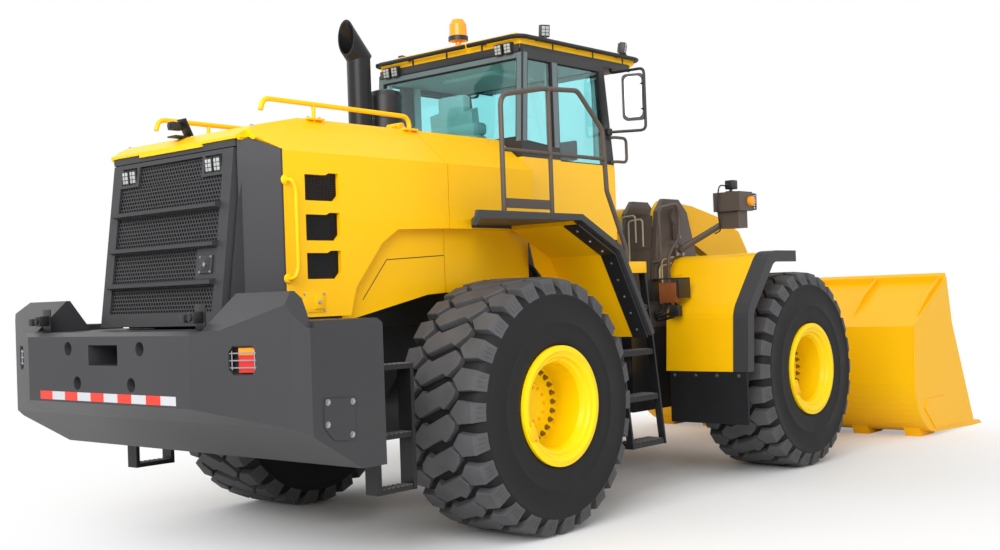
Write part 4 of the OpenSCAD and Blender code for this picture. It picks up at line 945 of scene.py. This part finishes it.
glass, frames, loops, trim, housing, lens, base, wiper = newMeshes(8)
for side in bothSides:
    at = mirrored(rear, side)
    x, y, z, width, height = cabSet["mirror"]
    swing = Matrix.Rotation(-side * radians(cabSet["mirrorSwing"]), 3, "Z")
    for bm, grow, depth, back in ((frames, 0.046, 0.045, 0.022), (glass, 0.0, 0.004, -0.001)):
        addPrism(bm, [at(x, y, z) + swing @ Vector((back - depth / 2, a, b))
                      for a, b in roundedBox(width + grow, height + grow, 0.04)], swing @ Vector((depth, 0, 0)))
    # tube that carries the mirror, from the eaves down to the door post
    addRoute(frames, at, cabSet["mirrorTube"], 0.05, 0.0125, 12)
    addSpan(frames, at, (1.840, 1.880), (0.830, 0.870), (3.050, 3.110), 0.004)
    for up in (-0.11, 0.11):
        addBar(frames, at, ((2.010, 1.130, z + up), (1.995, 1.03, z + up)), 0.009)
    addRoute(loops, at, cabSet["grabLoop"], 0.045, 0.013, 12)
    # trim under the roof's edge, its joints, and the lamps
    addSpan(trim, at, (0.745, 2.255), (0.803, 0.814), (eaves - 0.03, eaves + 0.034), 0.003)
    for x in (1.17, 1.72, 2.16):
        addSpan(trim, at, (x - 0.008, x + 0.008), (0.804, 0.808), (eaves + 0.034, eaves + 0.106))
    for y in cabSet["eaveLamps"]:
        addWorkLamp(housing, lens, at(0.712, y, eaves + 0.005), (-1, 0, -0.12), 0.080, 0.092, 0.05)
    for x, y, z in cabSet["roofLamps"]:
        facing = (-0.5, side * 0.85, -0.15) if x < 1.5 else (0.4, side * 0.9, -0.15)
        addWorkLamp(housing, lens, at(x, y, z), facing, 0.082, 0.10, 0.05)
        addBar(housing, at, ((x, y - 0.02, z - 0.02), (x, 0.845, eaves + 0.10)), 0.012)
addSpan(trim, rear, (0.735, 0.749), (-0.80, 0.80), (eaves - 0.03, eaves + 0.034), 0.003)
for y in (-0.40, 0.0, 0.40):
    addSpan(trim, rear, (0.746, 0.7505), (y - 0.008, y + 0.008), (eaves + 0.034, eaves + 0.10))
addSpan(trim, rear, (1.85, 2.25), (-0.79, 0.79), (eaves - 0.02, eaves - 0.001), 0.004)
beaconFoot = rear(*cabSet["beacon"])
addRevolve(base, [(0.050, 0.079), (0.052, 0.0845), (0.088, 0.0845), (0.092, 0.078)], beaconFoot, upward, 28)
addRevolve(base, [(0.0, 0.045), (0.006, 0.045), (0.010, 0.028)], beaconFoot, upward, 24)
addBar(wiper, rear, ((0.688, -0.18, 2.985), (0.690, 0.34, 3.020)), 0.007)
addBar(wiper, rear, ((0.694, 0.05, 3.000), (0.696, 0.52, 3.036)), 0.009)
addSpan(wiper, rear, (0.672, 0.705), (-0.23, -0.15), (2.955, 3.005), 0.006)
finishPiece("mirrorGlass", glass, mirrorGlass, "rear_frame")
shells = finishPiece("mirrorShells", frames, blackAbs, "rear_frame")
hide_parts("mirrors")
finishPieces("rear_frame",
             ("grabLoops", loops, greyWithPaintedWarmReflection, "rail_paint"),
             ("roofTrim", trim, blackAbs, "black_plastic"),
             ("cabLampHousings", housing, blackAbs, "black_plastic"),
             ("cabLampCells", lens, clearLens, "black_plastic"),
             ("beaconBase", base, blackAbs, "black_plastic"),
             ("rearWiper", wiper, blackAbs, "black_plastic"))
print("cab fitted")

# fenders, ladders and steps: bolted strips, treads, the yellow top step, and boxes behind the ladder
walkSet = {
    "strip": [(0.394, 2.206), (0.848, 1.988), (1.234, 1.340)], "stripY": (1.46, 1.60), "stripT": 0.012,
    "screwStep": 0.13,
    "ladderTreads": [(0.430, 1.30), (0.800, 1.262), (1.170, 1.225), (1.540, 1.188), (1.860, 1.10)],  # z and y
    "rearTreads": [0.480, 0.820, 1.26],
    "topStep": ((1.335, 1.800), (1.203, 1.225), (1.850, 1.945)),
    "boxes": [((1.34, 1.74), (0.84, 0.99), (0.62, 1.06)), ((1.36, 1.72), (0.84, 0.97), (1.10, 1.50)),
              ((0.62, 1.00), (0.775, 0.795), (1.50, 2.14)), ((1.26, 1.30), (0.85, 1.30), (1.00, 1.36))],
    "hose": [(0.60, 0.80, 1.93), (0.66, 0.83, 1.96), (0.80, 0.83, 1.90), (0.86, 0.82, 1.70)],
    # plate that closes the space between the cowl and the fender's lining
    "closing": [(0.60, 2.12), (0.848, 1.992), (1.06, 1.640), (0.96, 1.640), (0.66, 1.92)], "closingY": (0.944, 0.952),
}
strips, screws, treads, yellowStep, boxes, guards = newMeshes(6)
for side in bothSides:
    at = mirrored(rear, side)
    line, t = walkSet["strip"], walkSet["stripT"]
    for (xa, za), (xb, zb) in zip(line, line[1:]):
        length = hypot(xb - xa, zb - za)
        nx, nz = (zb - za) / length, -(xb - xa) / length
        outline = [(xa, za), (xb, zb), (xb + nx * t, zb + nz * t), (xa + nx * t, za + nz * t)]
        addSidePlate(strips, at, outline, *walkSet["stripY"])
        count = max(2, int(length / walkSet["screwStep"]))
        for k in range(count):
            f = (k + 0.5) / count
            x, z = xa + (xb - xa) * f + nx * t, za + (zb - za) * f + nz * t
            addHexHead(screws, at(x, sum(walkSet["stripY"]) / 2, z), (nx, 0, nz), 0.015, 0.008)
    for z, y in walkSet["ladderTreads"]:
        for k in range(9):
            x = 1.345 + k * 0.054
            addSpan(treads, at, (x, x + 0.030), (y - 0.135, y + 0.035), (z + 0.0395, z + 0.046), 0.002)
    for z in walkSet["rearTreads"]:
        for k in range(7):
            x = -1.47 + k * 0.042
            addSpan(treads, at, (x, x + 0.022), (1.30, 1.40), (z + 0.0295, z + 0.036), 0.002)
    for k in range(14):
        for j in range(4):
            x, y = 0.02 + k * 0.03, 1.00 + j * 0.085
            addSpan(treads, at, (x, x + 0.012), (y - 0.03, y + 0.03), (2.2795, 2.284))
    addSpan(yellowStep, at, *walkSet["topStep"], 0.004)
    for limits in walkSet["boxes"]:
        addSpan(boxes, at, *limits, 0.006)
    addRoute(boxes, at, walkSet["hose"], 0.06, 0.022)
    addSidePlate(guards, at, walkSet["closing"], *walkSet["closingY"])
finishPieces("rear_frame",
             ("ladderBoxes", boxes, blackEnamel, "black_paint"),
             ("fenderStrips", strips, blackEnamel, "black_paint"),
             ("fenderScrews", screws, zincPlate, "bare_steel"),
             ("stepTreads", treads, stepGrey, "dark_paint"),
             ("topStepGuards", yellowStep, yellowEnamel, "yellow_paint"),
             ("innerGuards", guards, yellowEnamel, "yellow_paint"))
print("steps made")

# front frame: handrail loops, keeper plates, pipes, boxes, headlamps with mesh guards and flap bolts
frontSet = {
    "towerY": 0.643, "loopOut": 0.075,
    "loop": [(-1.02, 1.96), (-1.02, 2.46), (-0.73, 2.505), (-0.67, 2.42), (-0.69, 2.19), (-0.885, 2.03),
             (-0.90, 1.555), (-0.985, 1.47)],
    "keeper": (-0.65, 2.39),
    "flapBolts": [0.90, 1.12, 1.34, 1.56],
    "lamp": {"x": -0.20, "y": (0.96, 1.24), "z": (2.42, 2.60), "wire": 0.003},
    # cable box, then the bracket over the valves
    "boxes": [
        ((-1.20, -1.13), (0.90, 1.01), (1.455, 1.56), 0.012), ((-1.21, -1.02), (0.72, 1.03), (1.795, 1.806), 0.003),
        ((-1.21, -1.02), (1.015, 1.03), (1.62, 1.806), 0.003), ((-1.16, -1.04), (0.655, 0.73), (1.60, 1.806), 0.004)],
    "valve": ((-1.19, -1.10), (0.80, 0.985), (1.580, 1.765), 0.010),
    "sidePipes": [(-0.955, 1.92), (-0.915, 1.98)],  # x and top
    # pipes on the cross plate: y up, y down, low end and top
    "crossPipes": [(-0.30, -0.46, 1.98, 2.40), (-0.38, -0.54, 1.96, 2.36), (0.30, 0.46, 1.98, 2.40)],
    # plate that closes each side of the tower behind the arm
    "plate": [(-1.050, 1.60), (-0.945, 2.40), (-0.957, 2.40), (-1.062, 1.60)], "plateY": (0.31, 0.597),
}
loops, keepers, screws, guards, amber, clear, boxes, pipes, valves, plates = newMeshes(10)
towerY = frontSet["towerY"]
for side in bothSides:
    at = mirrored(front, side)
    outward = (0, side, 0)
    line = frontSet["loop"]
    ends = [(x, towerY, z) for x, z in (line[0], line[-1])]
    loopY = towerY + frontSet["loopOut"]
    addRoute(loops, at, ends[:1] + [(x, loopY, z) for x, z in line] + ends[1:], 0.06, 0.017, 12)
    x, z = frontSet["keeper"]
    addRevolve(keepers, [(0.0, 0.085), (0.028, 0.085), (0.034, 0.078)], at(x, towerY, z), outward, 28)
    addOriented(keepers, at(-0.645, towerY + 0.02, 2.30), upward, outward, (0.26, 0.115, 0.020), 0.006)
    addScrews(screws, [at(-0.645, towerY + 0.03, 2.20)], outward, 0.040, 0.026)
    addScrews(screws, [at(x, 0.671, z) for x in (-0.665, -0.565) for z in (2.035, 2.113)], outward, 0.024, 0.014)
    addScrews(screws, [at(-1.135, y, 0.925) for y in frontSet["flapBolts"]], (-1, 0, 0), 0.022, 0.010)
    # wire cage over the headlamp: hoops standing, hoops lying, and bars on its sides
    lamp = frontSet["lamp"]
    lampX, (y0, y1), (z0, z1), wire = lamp["x"], lamp["y"], lamp["z"], lamp["wire"]
    nearX, farX, sideYs, ends = lampX - 0.012, lampX + 0.090, (y0 + 0.004, y1 - 0.004), (z0 + 0.012, z1 - 0.012)
    for k in range(10):
        y = y0 + 0.02 + (y1 - y0 - 0.04) * k / 9
        hoop = ((nearX, y, ends[0]), (farX, y, ends[0]), (farX, y, ends[1]), (nearX, y, ends[1]))
        addRoute(guards, at, hoop, 0.012, wire, 6, 2)
    for k in range(7):
        z = z0 + 0.02 + (z1 - z0 - 0.04) * k / 6
        hoop = ((nearX, sideYs[0], z), (farX, sideYs[0], z), (farX, sideYs[1], z), (nearX, sideYs[1], z))
        addRoute(guards, at, hoop, 0.012, wire, 6, 2)
    for k in range(4):
        for y in sideYs:
            addBar(guards, at, [(lampX + 0.006 + 0.024 * k, y, z) for z in ends], wire, 6)
    middleZ = (z0 + z1) / 2
    for y in (y0 + 0.075, y1 - 0.075):
        addRevolve(clear, [(0.0, 0.058), (0.022, 0.058), (0.030, 0.045), (0.034, 0.0001)],
                   at(lampX - 0.031, y, middleZ - 0.005), (1, 0, 0), 24)
    addRevolve(amber, [(0.0, 0.048), (0.03, 0.046), (0.042, 0.030)], at(lampX - 0.052, y1, middleZ), outward, 24)
    # small lamp on top of the housing, and its cable
    addSpan(boxes, at, (-0.40, -0.31), (1.065, 1.135), (z1, z1 + 0.012), 0.003)
    addSpan(boxes, at, (-0.39, -0.30), (1.055, 1.145), (z1 + 0.03, z1 + 0.115), 0.008)
    addBar(boxes, at, ((-0.355, 1.10, z1 + 0.01), (-0.355, 1.10, z1 + 0.035)), 0.014, 10)
    addRoute(boxes, at, ((-0.39, 1.08, z1 + 0.06), (-0.50, 1.06, z1 + 0.07), (-0.52, 1.04, z1 - 0.12),
                         (-0.47, 1.03, 2.33), (-0.43, 1.02, 2.24), (-0.45, 0.965, 2.215)), 0.05, 0.007, 8)
    addSpans(boxes, at, frontSet["boxes"])
    addSpan(valves, at, *frontSet["valve"])
    for k in range(3):
        # hoses from the valves into the tower
        x, y, z = -1.15 + 0.02 * k, 0.83 + 0.05 * k, 1.50 - 0.03 * k
        addRoute(boxes, at, ((x, y, 1.585), (x, y, z + 0.01 * k), (x + 0.03, 0.70, z - 0.03), (-1.02, 0.645, z)),
                 0.05, 0.011, 8)
    for x, top in frontSet["sidePipes"]:
        y = towerY + 0.018
        addRoute(pipes, at, ((x, y, 1.57), (x, y, top), (x + 0.20, y, top + 0.03)), 0.05, 0.009)
    addSidePlate(plates, at, frontSet["plate"], *frontSet["plateY"])
for y0, y1, low, top in frontSet["crossPipes"]:
    x = -1.03
    addRoute(pipes, front, ((x, y0, low), (x, y0, top), (x, y1, top + 0.01), (x, y1, top - 0.25)), 0.04, 0.008, 8)
finishPieces("front_frame",
             ("towerLoops", loops, greyWithPaintedWarmReflection, "rail_paint"),
             ("keeperPlates", keepers, greyWithPaintedWarmReflection, "rail_paint"),
             ("frontScrews", screws, zincPlate, "bare_steel"),
             ("headlampGuards", guards, blackEnamel, "bare_steel"),
             ("turnLamps", amber, amberLens, "lamp_amber"),
             ("headlampLenses", clear, clearLens, "bare_steel"),
             ("frontBoxes", boxes, blackAbs, "black_plastic"),
             ("towerPlates", plates, greyWithPaintedWarmReflection, "rail_paint"),
             ("valveBlocks", valves, primerBrown, "dark_paint"),
             ("towerPipes", pipes, creamPipe, "bare_steel"))
print("front frame fitted")

# end caps of the bucket's pins, weld beads along its side plates and plugs on its edge
bucketSet = {
    "halfWidth": 1.78,
    "pin": (2.040, 0.643, 0.340),
    "beads": [((2.19, 1.225), (3.10, 1.712)), ((2.145, 0.62), (2.175, 1.20))],
    "plugs": {"x": 3.86, "z": 0.044, "step": 0.205},
}
caps, welds = newMeshes(2)
plugs = bucketSet["plugs"]
for k in range(-8, 9):
    addRevolve(welds, [(0.0, 0.022), (0.010, 0.020), (0.014, 0.008)], front(plugs["x"], k * plugs["step"], plugs["z"]),
               upward, 14)
for side in bothSides:
    at = mirrored(front, side)
    outward = (0, side, 0)
    x, y, z = bucketSet["pin"]
    addRevolve(caps, [(0.0, 0.085), (0.016, 0.085), (0.022, 0.074)], at(x, y, z), outward, 28)
    addScrews(caps, [at(x + 0.055 * cos(a), y + 0.022, z + 0.055 * sin(a)) for a in (0.5, 2.6, 4.7)], outward)
    beadY = bucketSet["halfWidth"] - 0.002
    for bead in bucketSet["beads"]:
        addBar(welds, at, [(x, beadY, z) for x, z in bead], 0.009, 6)
finishPieces("bucket_body",
             ("bucketPinCaps", caps, zincPlate, "bare_steel"),
             ("bucketWelds", welds, yellowEnamel, "yellow_paint"))
print("bucket trimmed")
